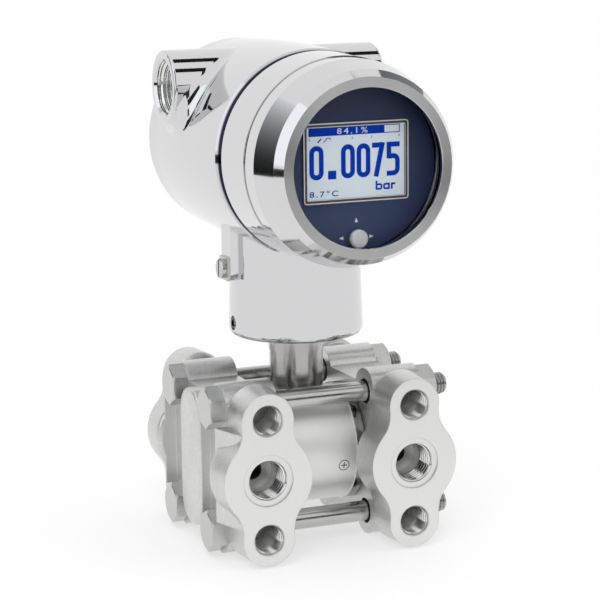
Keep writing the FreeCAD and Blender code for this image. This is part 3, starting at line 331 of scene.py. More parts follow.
def floor_material():
    """White floor with the object's soft shadow near it, and plain white further out."""
    material = new_material("floor", (0.93, 0.93, 0.93), 0.0, 0.9, Specular_IOR_Level=0.1)
    tree = material.node_tree
    glow = tree.nodes.new("ShaderNodeEmission")
    glow.inputs["Color"].default_value = (1, 1, 1, 1)
    glow.inputs["Strength"].default_value = 1.0
    away = tree.nodes.new("ShaderNodeVectorMath")
    away.operation = "DISTANCE"
    away.inputs[1].default_value = (0, STEM_Y, CAD_BOX[0].z)
    tree.links.new(object_place(tree), away.inputs[0])
    share = ramp(tree, away.outputs["Value"], *SHADOW_REACH, *SHADOW_SHARE, "SMOOTHSTEP")
    mix = tree.nodes.new("ShaderNodeMixShader")
    tree.links.new(share, mix.inputs[0])
    tree.links.new(tree.nodes["Principled BSDF"].outputs[0], mix.inputs[1])
    tree.links.new(glow.outputs[0], mix.inputs[2])
    tree.links.new(mix.outputs[0], tree.nodes["Material Output"].inputs[0])
    return material


def add_lamps():
    """Three soft lamps; the polished metal shows the cards and not the lamps."""
    for name, place, size, power in (
            ("key_lamp", (-0.7, -1.0, 1.2), 1.0, 11),
            ("fill_lamp", (1.2, -0.9, 0.7), 1.4, 6),
            ("top_lamp", (0.1, 0.3, 1.6), 1.6, 9)):
        lamp = bpy.data.lights.new(name, "AREA")
        lamp.size = size
        lamp.energy = power
        obj = link(bpy.data.objects.new(name, lamp))
        obj.location = place
        obj.rotation_mode = "QUATERNION"
        obj.rotation_quaternion = (Vector(place) - CELL).to_track_quat("Z", "Y")
        obj.visible_glossy = False


def add_cards():
    """The walls, flags and strips that the metal mirrors, each at its bearing round the head."""
    low = CAD_BOX[0].z
    add_card("left_wall", -50, low, 0.78, 0.36, 0.75, (0.012, 0.95), 2.2)
    add_card("left_kerb", -92, 0.0, 0.075, 0.34, 0.62, (0.01, 0.03))
    add_card("left_flag", -134, 0.03, 1.3, 0.50, 1.0, (0.015, 0.04))
    add_card("front_wall", 150, low, 0.28, 2.4, 0.85, (0.02, 0.06))
    add_card("right_flag", 60, 0.45, 1.35, 0.26, 1.0, (0.30, 0.18))
    add_card("left_softbox", -88, 0.10, 1.7, 1.15, 1.1, (1.35, 1.35))
    add_rail("top_rail", 0.62, 87, 0.8, 0.26, (0.015, 0.015))
    add_rail("front_rail", 0.45, 122.5, 0.8, 0.22, (0.015, 0.015))


def add_studio():
    """Plain colours on screen, and all that stands round the object."""
    bpy.context.scene.view_settings.view_transform = "Standard"
    add_world()
    add_floor()
    add_lamps()
    add_cards()


# ---------------------------------------------------------------- shader node groups

def new_group(name, inputs, outputs):
    """An empty shader node group: inputs are (name, kind, value), outputs are (name, kind)."""
    group = bpy.data.node_groups.new(name, "ShaderNodeTree")
    for label, kind, value in inputs:
        socket = group.interface.new_socket(label, in_out="INPUT", socket_type="NodeSocket" + kind)
        socket.default_value = value
    for label, kind in outputs:
        group.interface.new_socket(label, in_out="OUTPUT", socket_type="NodeSocket" + kind)
    return group, group.nodes.new("NodeGroupInput"), group.nodes.new("NodeGroupOutput")


def noise(group, scale, detail=3.0):
    """Noise on Object coordinates at a scale, a number or a socket; gives its value socket."""
    node = group.nodes.new("ShaderNodeTexNoise")
    group.links.new(object_place(group), node.inputs["Vector"])
    feed(group, scale, node.inputs["Scale"])
    node.inputs["Detail"].default_value = detail
    return node.outputs["Fac"]


def handled_group():
    """Wiped metal: a rough value that drifts between Clean and Wiped in large soft patches."""
    group, given, result = new_group("handled", [("Clean", "Float", 0.05), ("Wiped", "Float", 0.15)],
                                     [("Roughness", "Float"), ("Patch", "Float")])
    patch = maths(group, "SMOOTH_MIN", noise(group, 26.0, 4.0), 1.0, 0.1)
    patch = maths(group, "MULTIPLY", maths(group, "POWER", patch, 2.0), 1.4)
    spread = maths(group, "SUBTRACT", given.outputs["Wiped"], given.outputs["Clean"])
    rough = maths(group, "MULTIPLY_ADD", patch, spread, given.outputs["Clean"])
    group.links.new(rough, result.inputs["Roughness"])
    group.links.new(patch, result.inputs["Patch"])
    return group


def grain_group():
    """Blasted or moulded skin: fine height over a coarser one, and a tint that follows it."""
    group, given, result = new_group(
        "grain", [("Scale", "Float", 900.0), ("Dark", "Color", (0.4, 0.4, 0.4, 1)),
                  ("Light", "Color", (0.6, 0.6, 0.6, 1))],
        [("Height", "Float"), ("Color", "Color"), ("Mask", "Float")])
    fine = noise(group, given.outputs["Scale"], 3.0)
    coarse = noise(group, maths(group, "MULTIPLY", given.outputs["Scale"], 0.06), 4.0)
    height = maths(group, "MULTIPLY_ADD", coarse, 0.6, fine)
    share = maths(group, "MULTIPLY_ADD", fine, 0.5, maths(group, "MULTIPLY", coarse, 0.5))
    tint = blend(group, "RGBA", share, given.outputs["Dark"], given.outputs["Light"])
    group.links.new(height, result.inputs["Height"])
    group.links.new(tint, result.inputs["Color"])
    group.links.new(coarse, result.inputs["Mask"])
    return group


def tool_marks_group():
    """Lathe or mill marks: fine streaks across one axis, as noise stretched along the cut."""
    group, given, result = new_group(
        "tool_marks", [("Along", "Vector", (1.0, 1.0, 1.0)), ("Clean", "Float", 0.2), ("Cut", "Float", 0.4)],
        [("Height", "Float"), ("Roughness", "Float")])
    scaled = group.nodes.new("ShaderNodeVectorMath")
    scaled.operation = "MULTIPLY"
    group.links.new(object_place(group), scaled.inputs[0])
    group.links.new(given.outputs["Along"], scaled.inputs[1])
    streak = group.nodes.new("ShaderNodeTexNoise")
    streak.inputs["Scale"].default_value = 1.0
    streak.inputs["Detail"].default_value = 4.0
    group.links.new(scaled.outputs[0], streak.inputs["Vector"])
    value = streak.outputs["Fac"]
    spread = maths(group, "SUBTRACT", given.outputs["Cut"], given.outputs["Clean"])
    rough = maths(group, "MULTIPLY_ADD", value, spread, given.outputs["Clean"])
    group.links.new(value, result.inputs["Height"])
    group.links.new(rough, result.inputs["Roughness"])
    return group


HANDLED = handled_group()
GRAIN = grain_group()
TOOL_MARKS = tool_marks_group()


# ---------------------------------------------------------------- materials

def new_material(name, color, metallic, roughness, **sockets):
    """A Principled material whose constants are set on its own sockets."""
    material = bpy.data.materials.new(name)
    material.use_nodes = True
    surface = material.node_tree.nodes["Principled BSDF"]
    surface.inputs["Base Color"].default_value = (*color, 1)
    surface.inputs["Metallic"].default_value = metallic
    surface.inputs["Roughness"].default_value = roughness
    for socket, value in sockets.items():
        surface.inputs[socket.replace("_", " ")].default_value = value
    return material


def put_group(material, group, **values):
    """Place a node group in a material with its own values; gives the node."""
    node = material.node_tree.nodes.new("ShaderNodeGroup")
    node.node_tree = group
    for label, value in values.items():
        node.inputs[label].default_value = value
    return node


def join(material, socket, target):
    """Feed a socket of the material's Principled shader."""
    material.node_tree.links.new(socket, material.node_tree.nodes["Principled BSDF"].inputs[target])


def bump(material, height, strength, depth, soft_edge=0.0):
    """Bump from a height, over edges softened by a radius where one is given."""
    nodes, links = material.node_tree.nodes, material.node_tree.links
    node = nodes.new("ShaderNodeBump")
    node.inputs["Strength"].default_value = strength
    node.inputs["Distance"].default_value = depth
    links.new(height, node.inputs["Height"])
    if soft_edge:
        edge = nodes.new("ShaderNodeBevel")
        edge.samples = 4
        edge.inputs["Radius"].default_value = soft_edge
        links.new(edge.outputs[0], node.inputs["Normal"])
    join(material, node.outputs[0], "Normal")


def shade(color, share):
    """A colour as a socket takes it, darkened to a share of itself."""
    return (*[v * share for v in color], 1)


def polished(name, color, clean, wiped):
    """Electropolished steel with faint wiped patches and a very fine skin."""
    material = new_material(name, color, 1.0, clean)
    handled = put_group(material, HANDLED, Clean=clean, Wiped=wiped)
    join(material, handled.outputs["Roughness"], "Roughness")
    grain = put_group(material, GRAIN, Scale=420.0, Dark=shade(color, 0.97), Light=shade(color, 1))
    join(material, grain.outputs["Color"], "Base Color")
    bump(material, grain.outputs["Height"], 0.05, 0.02 * MM)
    return material


def worked(name, color, along, clean, cut, axis=None, anisotropy=0.0, depth=0.02, metallic=1.0):
    """Turned or ground steel: streaks along the cut, and a highlight drawn out across it."""
    material = new_material(name, color, metallic, clean, Anisotropic=anisotropy, Anisotropic_Rotation=0.25)
    marks = put_group(material, TOOL_MARKS, Along=along, Clean=clean, Cut=cut)
    join(material, marks.outputs["Roughness"], "Roughness")
    grain = put_group(material, GRAIN, Scale=300.0, Dark=shade(color, 0.9), Light=shade(color, 1))
    join(material, grain.outputs["Color"], "Base Color")
    bump(material, marks.outputs["Height"], 0.25, depth * MM)
    if axis:
        tangent = material.node_tree.nodes.new("ShaderNodeTangent")
        tangent.direction_type = "RADIAL"
        tangent.axis = axis
        join(material, tangent.outputs[0], "Tangent")
    return material


def cast_material():
    """Bead-blasted casting whose flat faces across Y are machined smoother and lighter; the lighter tint is
    partly the machined finish and partly painted light on those faces.
    """
    rough_cast = 0.33
    material = new_material("blasted_steel", (0.70, 0.70, 0.69), 0.92, rough_cast)
    tree = material.node_tree
    grain = put_group(material, GRAIN, Scale=1100.0, Dark=(0.40, 0.40, 0.39, 1), Light=(0.86, 0.86, 0.85, 1))
    marks = put_group(material, TOOL_MARKS, Along=(900.0, 60.0, 40.0), Clean=0.30, Cut=0.42)
    normal = tree.nodes.new("ShaderNodeTexCoord").outputs["Normal"]
    milled_and_sheen_mask = ramp(tree, maths(tree, "ABSOLUTE", one_axis(tree, normal, 1)), 0.985, 0.999)
    # The mask lifts the tint on faces across Y: partly the machined finish, partly painted light on those
    # faces.
    tint = blend(tree, "RGBA", milled_and_sheen_mask, grain.outputs["Color"], (0.80, 0.80, 0.79, 1))
    rough = blend(tree, "FLOAT", milled_and_sheen_mask, rough_cast, marks.outputs["Roughness"])
    height = blend(tree, "FLOAT", milled_and_sheen_mask, grain.outputs["Height"], marks.outputs["Height"])
    join(material, tint, "Base Color")
    join(material, rough, "Roughness")
    bump(material, height, 0.5, 0.05 * MM, 0.5 * MM)
    return material


def painted_groove_shade_material():
    """Polished steel with painted shade: dark at the bottom of the groove behind the front collar."""
    material = polished("groove_painted_shade_steel", (0.66, 0.66, 0.67), 0.06, 0.12)
    tree = material.node_tree
    back = one_axis(tree, object_place(tree), 1)
    depth = ramp(tree, back, STEM_Y + GROOVE_SHADE_FULL_Y * MM, STEM_Y + GROOVE_SHADE_GONE_Y * MM)
    # Painted shade: near-black navy at the groove's bottom, fading to plain polished steel along Y.
    tint = blend(tree, "RGBA", depth, (0.018, 0.022, 0.045, 1), (0.60, 0.60, 0.61, 1))
    join(material, tint, "Base Color")
    return material


def moulded(name, color, roughness, scale, **sockets):
    """Moulded plastic or rubber: a fine skin and a slightly uneven tint."""
    material = new_material(name, color, 0.0, roughness, **sockets)
    grain = put_group(material, GRAIN, Scale=scale, Dark=shade(color, 0.8), Light=shade(color, 1))
    join(material, grain.outputs["Color"], "Base Color")
    handled = put_group(material, HANDLED, Clean=roughness * 0.85, Wiped=roughness * 1.25)
    join(material, handled.outputs["Roughness"], "Roughness")
    bump(material, grain.outputs["Height"], 0.2, 0.02 * MM)
    return material


def navy_material():
    """Satin navy sheet with painted light: a little lighter towards its lower edge."""
    material = moulded("navy_plate", (0.016, 0.026, 0.068), 0.32, 700.0, Specular_IOR_Level=0.15)
    tree = material.node_tree
    # Painted light: the tint lightens from the plate's top to its lower edge.
    fade = ramp(tree, one_axis(tree, object_place(tree), 2), HEAD_Z - PLATE_R * MM, HEAD_Z + PLATE_R * MM)
    tint = blend(tree, "RGBA", fade, (0.028, 0.044, 0.105, 1), (0.012, 0.019, 0.050, 1))
    join(material, tint, "Base Color")
    return material


def screen_material():
    """A pale grey display, faintly ruled into dots, with a faint painted glow that stands in for light on
    it.
    """
    # Emission here is a painted glow: the display is no lamp.
    material = new_material("screen_glass", (0.50, 0.56, 0.60), 0.0, 0.25, Emission_Strength=0.08,
                            Specular_IOR_Level=0.15)
    tree = material.node_tree
    turn = tree.nodes.new("ShaderNodeMapping")
    turn.inputs["Rotation"].default_value = (math.radians(90), 0, 0)
    dots = tree.nodes.new("ShaderNodeTexBrick")
    dots.offset = 0.0
    for socket, value in (("Color1", (0.56, 0.62, 0.66, 1)), ("Color2", (0.54, 0.60, 0.65, 1)),
                          ("Mortar", (0.48, 0.54, 0.60, 1)), ("Scale", 1.0), ("Mortar Size", DOT_GAP * MM),
                          ("Brick Width", DOT_PITCH * MM), ("Row Height", DOT_PITCH * MM)):
        dots.inputs[socket].default_value = value
    tree.links.new(object_place(tree), turn.inputs["Vector"])
    tree.links.new(turn.outputs[0], dots.inputs["Vector"])
    join(material, dots.outputs["Color"], "Base Color")
    # The dots' colour also feeds the painted glow.
    join(material, dots.outputs["Color"], "Emission Color")
    return material


POLISHED = polished("polished_steel", (0.66, 0.66, 0.67), 0.035, 0.085)
COVER_STEEL = polished("polished_cover", (0.66, 0.66, 0.67), 0.05, 0.11)
RING_STEEL = worked("ground_ring", (0.66, 0.66, 0.66), (400.0, 400.0, 400.0), 0.38, 0.46, "Y", 1.0,
                    depth=0.003)
CELL_STEEL = worked("brushed_cell", (0.92, 0.92, 0.91), (1500.0, 15.0, 15.0), 0.42, 0.50, depth=0.002,
                    metallic=0.6)
RIM_STEEL = worked("turned_rim", (0.44, 0.44, 0.44), (1500.0, 40.0, 40.0), 0.08, 0.16, "X", 0.3)
TURNED = worked("turned_steel", (0.48, 0.47, 0.45), (40.0, 40.0, 1500.0), 0.12, 0.24, "Z", 0.5)
SATIN = worked("satin_steel", (0.56, 0.56, 0.55), (700.0, 90.0, 90.0), 0.16, 0.28, depth=0.006)
THREADS = worked("thread_steel", (0.42, 0.42, 0.42), (300.0, 300.0, 300.0), 0.20, 0.34)
BORE = worked("bored_steel", (0.78, 0.78, 0.77), (300.0, 300.0, 300.0), 0.08, 0.18)
BLASTED = cast_material()
NAVY = navy_material()
BLACK = moulded("black_plastic", (0.022, 0.022, 0.024), 0.42, 1200.0)
RUBBER = moulded("seal_rubber", (0.018, 0.018, 0.018), 0.6, 900.0)
PALE = moulded("pale_plastic", (0.55, 0.57, 0.58), 0.35, 900.0)
INK_WHITE = moulded("white_print", (0.62, 0.64, 0.66), 0.45, 1500.0)
# Steel with painted shade in the groove behind the front collar.
GROOVE_SHADE_STEEL = painted_groove_shade_material()
INK_BLUE = moulded("display_blue", (0.002, 0.034, 0.36), 0.5, 1500.0, Specular_IOR_Level=0.0)
INK_DARK = moulded("etched_mark", (0.05, 0.05, 0.05), 0.5, 1500.0)
SEAL_WHITE = moulded("seal_plastic", (0.72, 0.72, 0.68), 0.4, 600.0)
SCREEN_MAT = screen_material()
GLASS = new_material("window_glass", (1, 1, 1), 0.0, 0.0, Transmission_Weight=1.0, IOR=1.12)
BOARD = moulded("board", (0.03, 0.15, 0.08), 0.4, 500.0)
BRASS = worked("brass", (0.72, 0.55, 0.26), (300.0, 300.0, 300.0), 0.2, 0.35)
SLOTS = {"cast_steel": BLASTED, "turned_steel": TURNED, "bolt_steel": SATIN, "polished_steel": POLISHED,
         "seal_rubber": RUBBER, "seal_plastic": SEAL_WHITE, "black_plastic": BLACK, "navy_plastic": NAVY,
         "board": BOARD, "screen": SCREEN_MAT, "window": GLASS, "terminal_brass": BRASS}
SLOT_OF = {entry["node"]: entry["material_slot"] for entry in frame["record"]["subparts"]}


def dress(node, material):
    """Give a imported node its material."""
    mesh = frame["nodes"][node].data
    mesh.materials.clear()
    mesh.materials.append(material)


# ---------------------------------------------------------------- surfaces on a grid

def triples(items, attribute):
    """A three-part attribute of every vertex, corner or face of a mesh, as an array of rows."""
    values = np.zeros(len(items) * 3)
    items.foreach_get(attribute, values)
    return values.reshape(-1, 3)


def grid_faces(rows, columns, wrap_rows=False, wrap_columns=False):
    """Corner numbers of the quads of a grid; a wrapped side joins its last row to its first."""
    r = np.arange(rows if wrap_rows else rows - 1)
    c = np.arange(columns if wrap_columns else columns - 1)
    r, c = (v.ravel() for v in np.meshgrid(r, c, indexing="ij"))
    up, along = (r + 1) % rows, (c + 1) % columns
    return np.stack([r * columns + c, r * columns + along, up * columns + along, up * columns + c], axis=1)


def build(name, points, faces, materials, node, normals=None, kinds=None, flat_faces=False):
    """Make a piece from arrays: points in millimetres, quads, materials, and the node it goes with."""
    mesh = bpy.data.meshes.new(name)
    mesh.vertices.add(len(points))
    mesh.vertices.foreach_set("co", (points * MM).astype(np.float32).ravel())
    mesh.loops.add(faces.size)
    mesh.loops.foreach_set("vertex_index", faces.astype(np.int32).ravel())
    mesh.polygons.add(len(faces))
    mesh.polygons.foreach_set("loop_start", np.arange(0, faces.size, 4, dtype=np.int32))
    mesh.update(calc_edges=True)
    mesh.validate()
    for material in materials:
        mesh.materials.append(material)
    if kinds is not None:
        mesh.polygons.foreach_set("material_index", kinds.astype(np.int32))
    mesh.polygons.foreach_set("use_smooth", np.full(len(mesh.polygons), not flat_faces))
    if normals is not None:
        mesh.normals_split_custom_set_from_vertices(normals.astype(np.float32).tolist())
    piece = link(bpy.data.objects.new(name, mesh))
    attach(piece, BODY_OF[node])
    return piece


def rounded(corners, steps=5):
    """A profile with rounded corners: corners are (u, v, radius); gives points and unit tangents.

    Each corner is a circular arc that touches both of its sides; tangents follow the sides
    and turn evenly along the arcs.
    """
    corners = np.array(corners, float)
    points, ways = [], []
    for number in range(1, len(corners) - 1):
        before, here, after = corners[number - 1, :2], corners[number, :2], corners[number + 1, :2]
        a = (here - before) / np.linalg.norm(here - before)
        b = (after - here) / np.linalg.norm(after - here)
        turn = math.acos(max(-1.0, min(1.0, float(a @ b))))
        radius = corners[number, 2]
        if radius <= 0 or turn < 1e-4:
            points += [here, here]
            ways += [a, b]
            continue
        cut = radius * math.tan(turn / 2)
        share = np.linspace(0, turn, steps + 1)[:, None]
        side = np.array([-a[1], a[0]]) * np.sign(a[0] * b[1] - a[1] * b[0])
        centre = here - a * cut + side * radius
        points += list(centre + (a * np.sin(share) - side * np.cos(share)) * radius)
        ways += list(a * np.cos(share) + side * np.sin(share))
    first = (corners[1, :2] - corners[0, :2]) / np.linalg.norm(corners[1, :2] - corners[0, :2])
    last = (corners[-1, :2] - corners[-2, :2]) / np.linalg.norm(corners[-1, :2] - corners[-2, :2])
    points = [corners[0, :2]] + points + [corners[-1, :2]]
    ways = [first] + ways + [last]
    return np.array(points), np.array(ways)


AXES = {"X": (1, 2, 0), "Y": (2, 0, 1), "Z": (0, 1, 2)}


def turned_points(profile, tangents, axis, centre, around):
    """Turn a profile (place along the axis, radius) about an axis; gives points and normals.

    Point = centre + axis * place + radius * (cos t, sin t) across the axis, for even angles t.
    The normal is the tangent turned a quarter, carried round in the same way.
    """
    first, second, along = AXES[axis]
    t = np.linspace(0, 2 * math.pi, around, endpoint=False)[None, :]
    points = np.zeros((len(profile), around, 3))
    normals = np.zeros_like(points)
    points[..., first] = profile[:, 1:2] * np.cos(t)
    points[..., second] = profile[:, 1:2] * np.sin(t)
    points[..., along] = profile[:, 0:1]
    normals[..., first] = tangents[:, 0:1] * np.cos(t)
    normals[..., second] = tangents[:, 0:1] * np.sin(t)
    normals[..., along] = -tangents[:, 1:2]
    points += np.array(centre) / MM
    return points.reshape(-1, 3), normals.reshape(-1, 3)


def turned_piece(name, corners, axis, centre, materials, node, around, kinds_of):
    """A turned piece from a closed profile walked so that its outside is on the left.

    Corners are (place along the axis, radius, corner radius), as rounded() takes them.
    """
    loop = [corners[-1], *corners, corners[0]]
    points, tangents = rounded(loop)
    points, tangents = points[1:-1], tangents[1:-1]
    at, normals = turned_points(points, tangents, axis, centre, around)
    faces = grid_faces(len(points), around, wrap_rows=True, wrap_columns=True)
    return build(name, at, faces, materials, node, normals, kinds_of(at[faces].mean(axis=1)))


def thread_piece(name, axis, centre, root, crest, pitch, start, end, node, material, around,
                 inward=False):
    """A helical thread between two places along an axis.

    Radius = root + (crest - root) * w, where w is a rounded triangle wave of
    (place / pitch - angle / full turn); at both ends the wave fades to the root.
    """
    rows = max(8, int(abs(end - start) / pitch * 10))
    s = np.linspace(start, end, rows)[:, None]
    t = np.linspace(0, 2 * math.pi, around, endpoint=False)[None, :]
    phase = (s / pitch - t / (2 * math.pi)) % 1.0
    wave = np.clip(1.15 - np.abs(phase - 0.5) * 2.6, 0, 1)
    fade = np.clip(np.minimum(s - start, end - s) / (0.6 * pitch), 0, 1)
    radius = root + (crest - root) * wave * fade
    first, second, along = AXES[axis]
    points = np.zeros((rows, around, 3))
    points[..., first] = radius * np.cos(t)
    points[..., second] = radius * np.sin(t)
    points[..., along] = s + 0 * t
    points += np.array(centre) / MM
    faces = grid_faces(rows, around, wrap_columns=True)
    if (end < start) != inward:
        faces = faces[:, ::-1]
    build(name, points.reshape(-1, 3), faces, [material], node)


def stroke(path, width, closed=False):
    """A flat band of even width along a path (u, v): each point moved both ways along its normal."""
    path = np.array(path, float)
    ahead, behind = np.roll(path, -1, axis=0), np.roll(path, 1, axis=0)
    if not closed:
        ahead[-1], behind[0] = path[-1], path[0]
    out = ahead - path
    into = path - behind
    if not closed:
        out[-1], into[0] = into[-1], out[0]
    out /= np.linalg.norm(out, axis=1)[:, None]
    into /= np.linalg.norm(into, axis=1)[:, None]
    normal = np.stack([-(out[:, 1] + into[:, 1]), out[:, 0] + into[:, 0]], axis=1)
    normal /= np.linalg.norm(normal, axis=1)[:, None]
    mitre = 1 / np.maximum(0.5, np.abs((normal * np.stack([-out[:, 1], out[:, 0]], axis=1)).sum(axis=1)))
    shift = normal * (mitre * width / 2)[:, None]
    return np.stack([path - shift, path + shift], axis=1)


def add_print(name, bands, place, material, node):
    """Printed bands as one piece: place turns flat (u, v) arrays into points in millimetres."""
    points, faces, offset = [], [], 0
    for number, (band, closed) in enumerate(bands):
        flat = band.reshape(-1, 2)
        points.append(place(flat) - (0, PRINT_STEP * number, 0))
        faces.append(grid_faces(len(band), 2, wrap_rows=closed) + offset)
        offset += len(flat)
    build(name, np.concatenate(points), np.concatenate(faces), [material], node, flat_faces=True)


def smooth_copy(node, material, change=None):
    """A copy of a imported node, its triangles joined and smoothly shaded; change moves its points."""
    mesh = frame["nodes"][node].data.copy()
    mesh.name = node + "_finished"
    if "custom_normal" in mesh.attributes:
        mesh.attributes.remove(mesh.attributes["custom_normal"])
    work = bmesh.new()
    work.from_mesh(mesh)
    bmesh.ops.remove_doubles(work, verts=work.verts, dist=0.002 * MM)
    work.to_mesh(mesh)
    work.free()
    if change:
        mesh.vertices.foreach_set("co", change(triples(mesh.vertices, "co")).astype(np.float32).ravel())
        mesh.update()
    mesh.materials.clear()
    mesh.materials.append(material)
    mesh.shade_smooth()
    mesh.set_sharp_from_angle(angle=math.radians(SMOOTH_ANGLE))
    piece = link(bpy.data.objects.new(node + "_finished", mesh))
    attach(piece, BODY_OF[node])
    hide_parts(node)
    return piece


# ---------------------------------------------------------------- head

def across(points, axis, centre):
    """Unit directions away from an axis, and the distances from it, for an array of points."""
    away = points - np.array(centre)
    away[:, AXES[axis][2]] = 0
    far = np.linalg.norm(away, axis=1)
    return away / np.maximum(far, 1e-9)[:, None], far


def entry_spine(side, count=1440):
    """Centres of the ball that rolls in the corner between an entry boss and the barrel.

    They lie at boss radius + ball radius from the entry's axis and at barrel radius + ball radius
    from the head's axis; the barrel's radius falls off as the square of the distance from its
    fullest section.
    """
    a = np.linspace(0, 2 * math.pi, count, endpoint=False)
    y = ENTRY.y / MM + (ENTRY_BOSS_R + ENTRY_ROUND) * np.cos(a)
    z = ENTRY.z / MM + (ENTRY_BOSS_R + ENTRY_ROUND) * np.sin(a)
    barrel = BARREL_R - BARREL_FALL * (y - STEM_Y / MM - BARREL_FULLEST) ** 2
    x = side * np.sqrt(np.maximum((barrel + ENTRY_ROUND) ** 2 - (z - HEAD_Z / MM) ** 2, 0))
    return np.stack([x, y, z], axis=1) * MM


def whole_faces(corners):
    """Keep the marks of those triangles whose three corners are all marked."""
    return corners.reshape(-1, 3).all(axis=1).repeat(3)


def turned_normals(form, at, flat, normals):
    """Marks and exact normals of the corners that belong to a turned form.

    The form is (axis, centre, low radius, high radius, straight).  A face belongs to it when its
    normal has no part along the turning direction and its corners lie between the radii.  A
    corner of a straight form gets the face's own slope at the corner's own angle; on a curved
    form the corner only loses the part of its normal along the turning direction.
    """
    axis, centre, low_r, high_r, straight = form
    line = np.eye(3)[AXES[axis][2]]
    here, far = across(at, axis, centre)
    there, _ = across(np.repeat(at.reshape(-1, 3, 3).mean(axis=1), 3, axis=0), axis, centre)
    slope = (flat * line).sum(axis=1)
    fits = (np.abs((flat * np.cross(line, there)).sum(axis=1)) < 0.05) & ((flat * there).sum(axis=1) > 0.3)
    fits = whole_faces(fits & (far > low_r * MM) & (far < high_r * MM))
    if straight:
        made = here * np.sqrt(np.maximum(0, 1 - slope ** 2))[:, None] + line * slope[:, None]
    else:
        local = np.cross(line, here)
        made = normals - local * (normals * local).sum(axis=1)[:, None]
        made /= np.linalg.norm(made, axis=1)[:, None]
    return fits, made[fits]


def rolled_normals(side, at, flat):
    """Numbers and exact normals of the corners on the rounding at the foot of one entry boss.

    Each normal points from the corner to the nearest centre of the rolling ball.
    """
    middle_of_zone = (side * ENTRY_ZONE, ENTRY.y, ENTRY.z)
    near = (at[:, 0] * side > 0) & (np.linalg.norm(at - middle_of_zone, axis=1) < ENTRY_ZONE)
    spots = np.flatnonzero(near)
    away = entry_spine(side)[None, :, :] - at[spots][:, None, :]
    far = np.linalg.norm(away, axis=2)
    best = far.argmin(axis=1)
    rows = np.arange(len(spots))
    made = away[rows, best] / far[rows, best][:, None]
    touching = np.zeros(len(at), dtype=bool)
    touching[spots] = np.abs(far[rows, best] - ENTRY_ROUND * MM) < 0.12 * MM
    keep = whole_faces(touching)[spots] & ((made * flat[spots]).sum(axis=1) > 0.6)
    return spots[keep], made[keep]


def even_out(mesh, forms):
    """Give a mesh's corners exact normals on its turned forms and on both boss roundings."""
    corner = np.zeros(len(mesh.loops), dtype=np.int32)
    mesh.loops.foreach_get("vertex_index", corner)
    at = triples(mesh.vertices, "co")[corner]
    normals = triples(mesh.corner_normals, "vector")
    flat = np.repeat(triples(mesh.polygons, "normal"), 3, axis=0)
    for form in forms:
        fits, made = turned_normals(form, at, flat, normals)
        normals[fits] = made
    for side in (-1, 1):
        spots, made = rolled_normals(side, at, flat)
        normals[spots] = made
    mesh.normals_split_custom_set(normals.astype(np.float32).tolist())


def add_housing():
    """The housing, with painted shade in the groove behind its front collar, and exact normals on its turned
    forms.
    """
    mesh = smooth_copy("transmitter_housing", POLISHED).data
    mesh.materials.append(GROOVE_SHADE_STEEL)
    x, y, z = ((triples(mesh.polygons, "center") - np.array(HEAD)) / MM).T
    # Faces in the groove get the steel with painted shade.
    groove = (GROOVE_Y[0] < y) & (y < GROOVE_Y[1]) & (np.hypot(x, z) < GROOVE_R) & (z > GROOVE_LOWEST)
    mesh.polygons.foreach_set("material_index", groove.astype(np.int32))
    even_out(mesh, [("Z", HEAD, 22.9, 23.9, True), ("X", ENTRY, 12.9, 13.0, True),
                    ("Y", HEAD, 33.0, 36.6, False)])


def turned_down(points, centre, tip):
    """Points of a bolt whose shank, over a length behind the tip, is drawn in to a smaller radius."""
    away, far = across(points, "X", centre)
    end = (points[:, 0] > (tip - TURNED_LENGTH) * MM) & (far > SHANK_SKIN_R * MM)
    points[end, 1:] = (np.array(centre) + away * TURNED_R * MM)[end, 1:]
    return points


def add_bolts():
    """The clamping bolts, with their plain ends turned down and threads wound round them."""
    for name in ("front_top", "front_low", "rear_top", "rear_low"):
        node = "tie_bolt_" + name
        centre = middle(node)
        tip = reach(node, 0)[1]
        smooth_copy(node, SATIN, lambda points: turned_down(points, centre, tip))
        start, end = (tip - depth for depth in BOLT_SPAN)
        thread_piece("bolt_thread_" + name, "X", (0, centre.y, centre.z), *BOLT_THREAD, start, end,
                     node, THREADS, 40)
        smooth_copy(node.replace("bolt", "nut"), SATIN)


def cover_profile():
    """Profile of the window cover from the window's edge out over bevel and cone to its rear."""
    front, rear = reach("front_cover", 1)
    radius = reach("front_cover", 0)[1]
    window, ring, edge = radius - 8.35, radius - 5.0, radius - 2.75
    thread, seat = radius - 3.3, radius - 5.3
    front, rear = front - STEM_Y / MM, rear - STEM_Y / MM
    return [(front, window, 0.35), (front, ring, 0.25), (front + 3.5, edge, 0.25), (front + 14, radius, 0.5),
            (rear, radius, 0.3), (rear, thread + 0.2, 0.1), (front + 8, thread, 0.1),
            (front + 8, seat, 0.1), (front + 1.5, seat, 0.1), (front + 1.5, window, 0.1)]


def front_ring(middles):
    """Kind 1 on the flat front ring and 0 elsewhere."""
    return (middles[:, 1] < reach("front_cover", 1)[0] + 0.06).astype(int)


def add_cover():
    """The window cover, with a flat ground ring in front."""
    cover = turned_piece("window_cover", cover_profile(), "Y", HEAD, [COVER_STEEL, RING_STEEL],
                         "front_cover", 160, front_ring)
    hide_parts("front_cover")


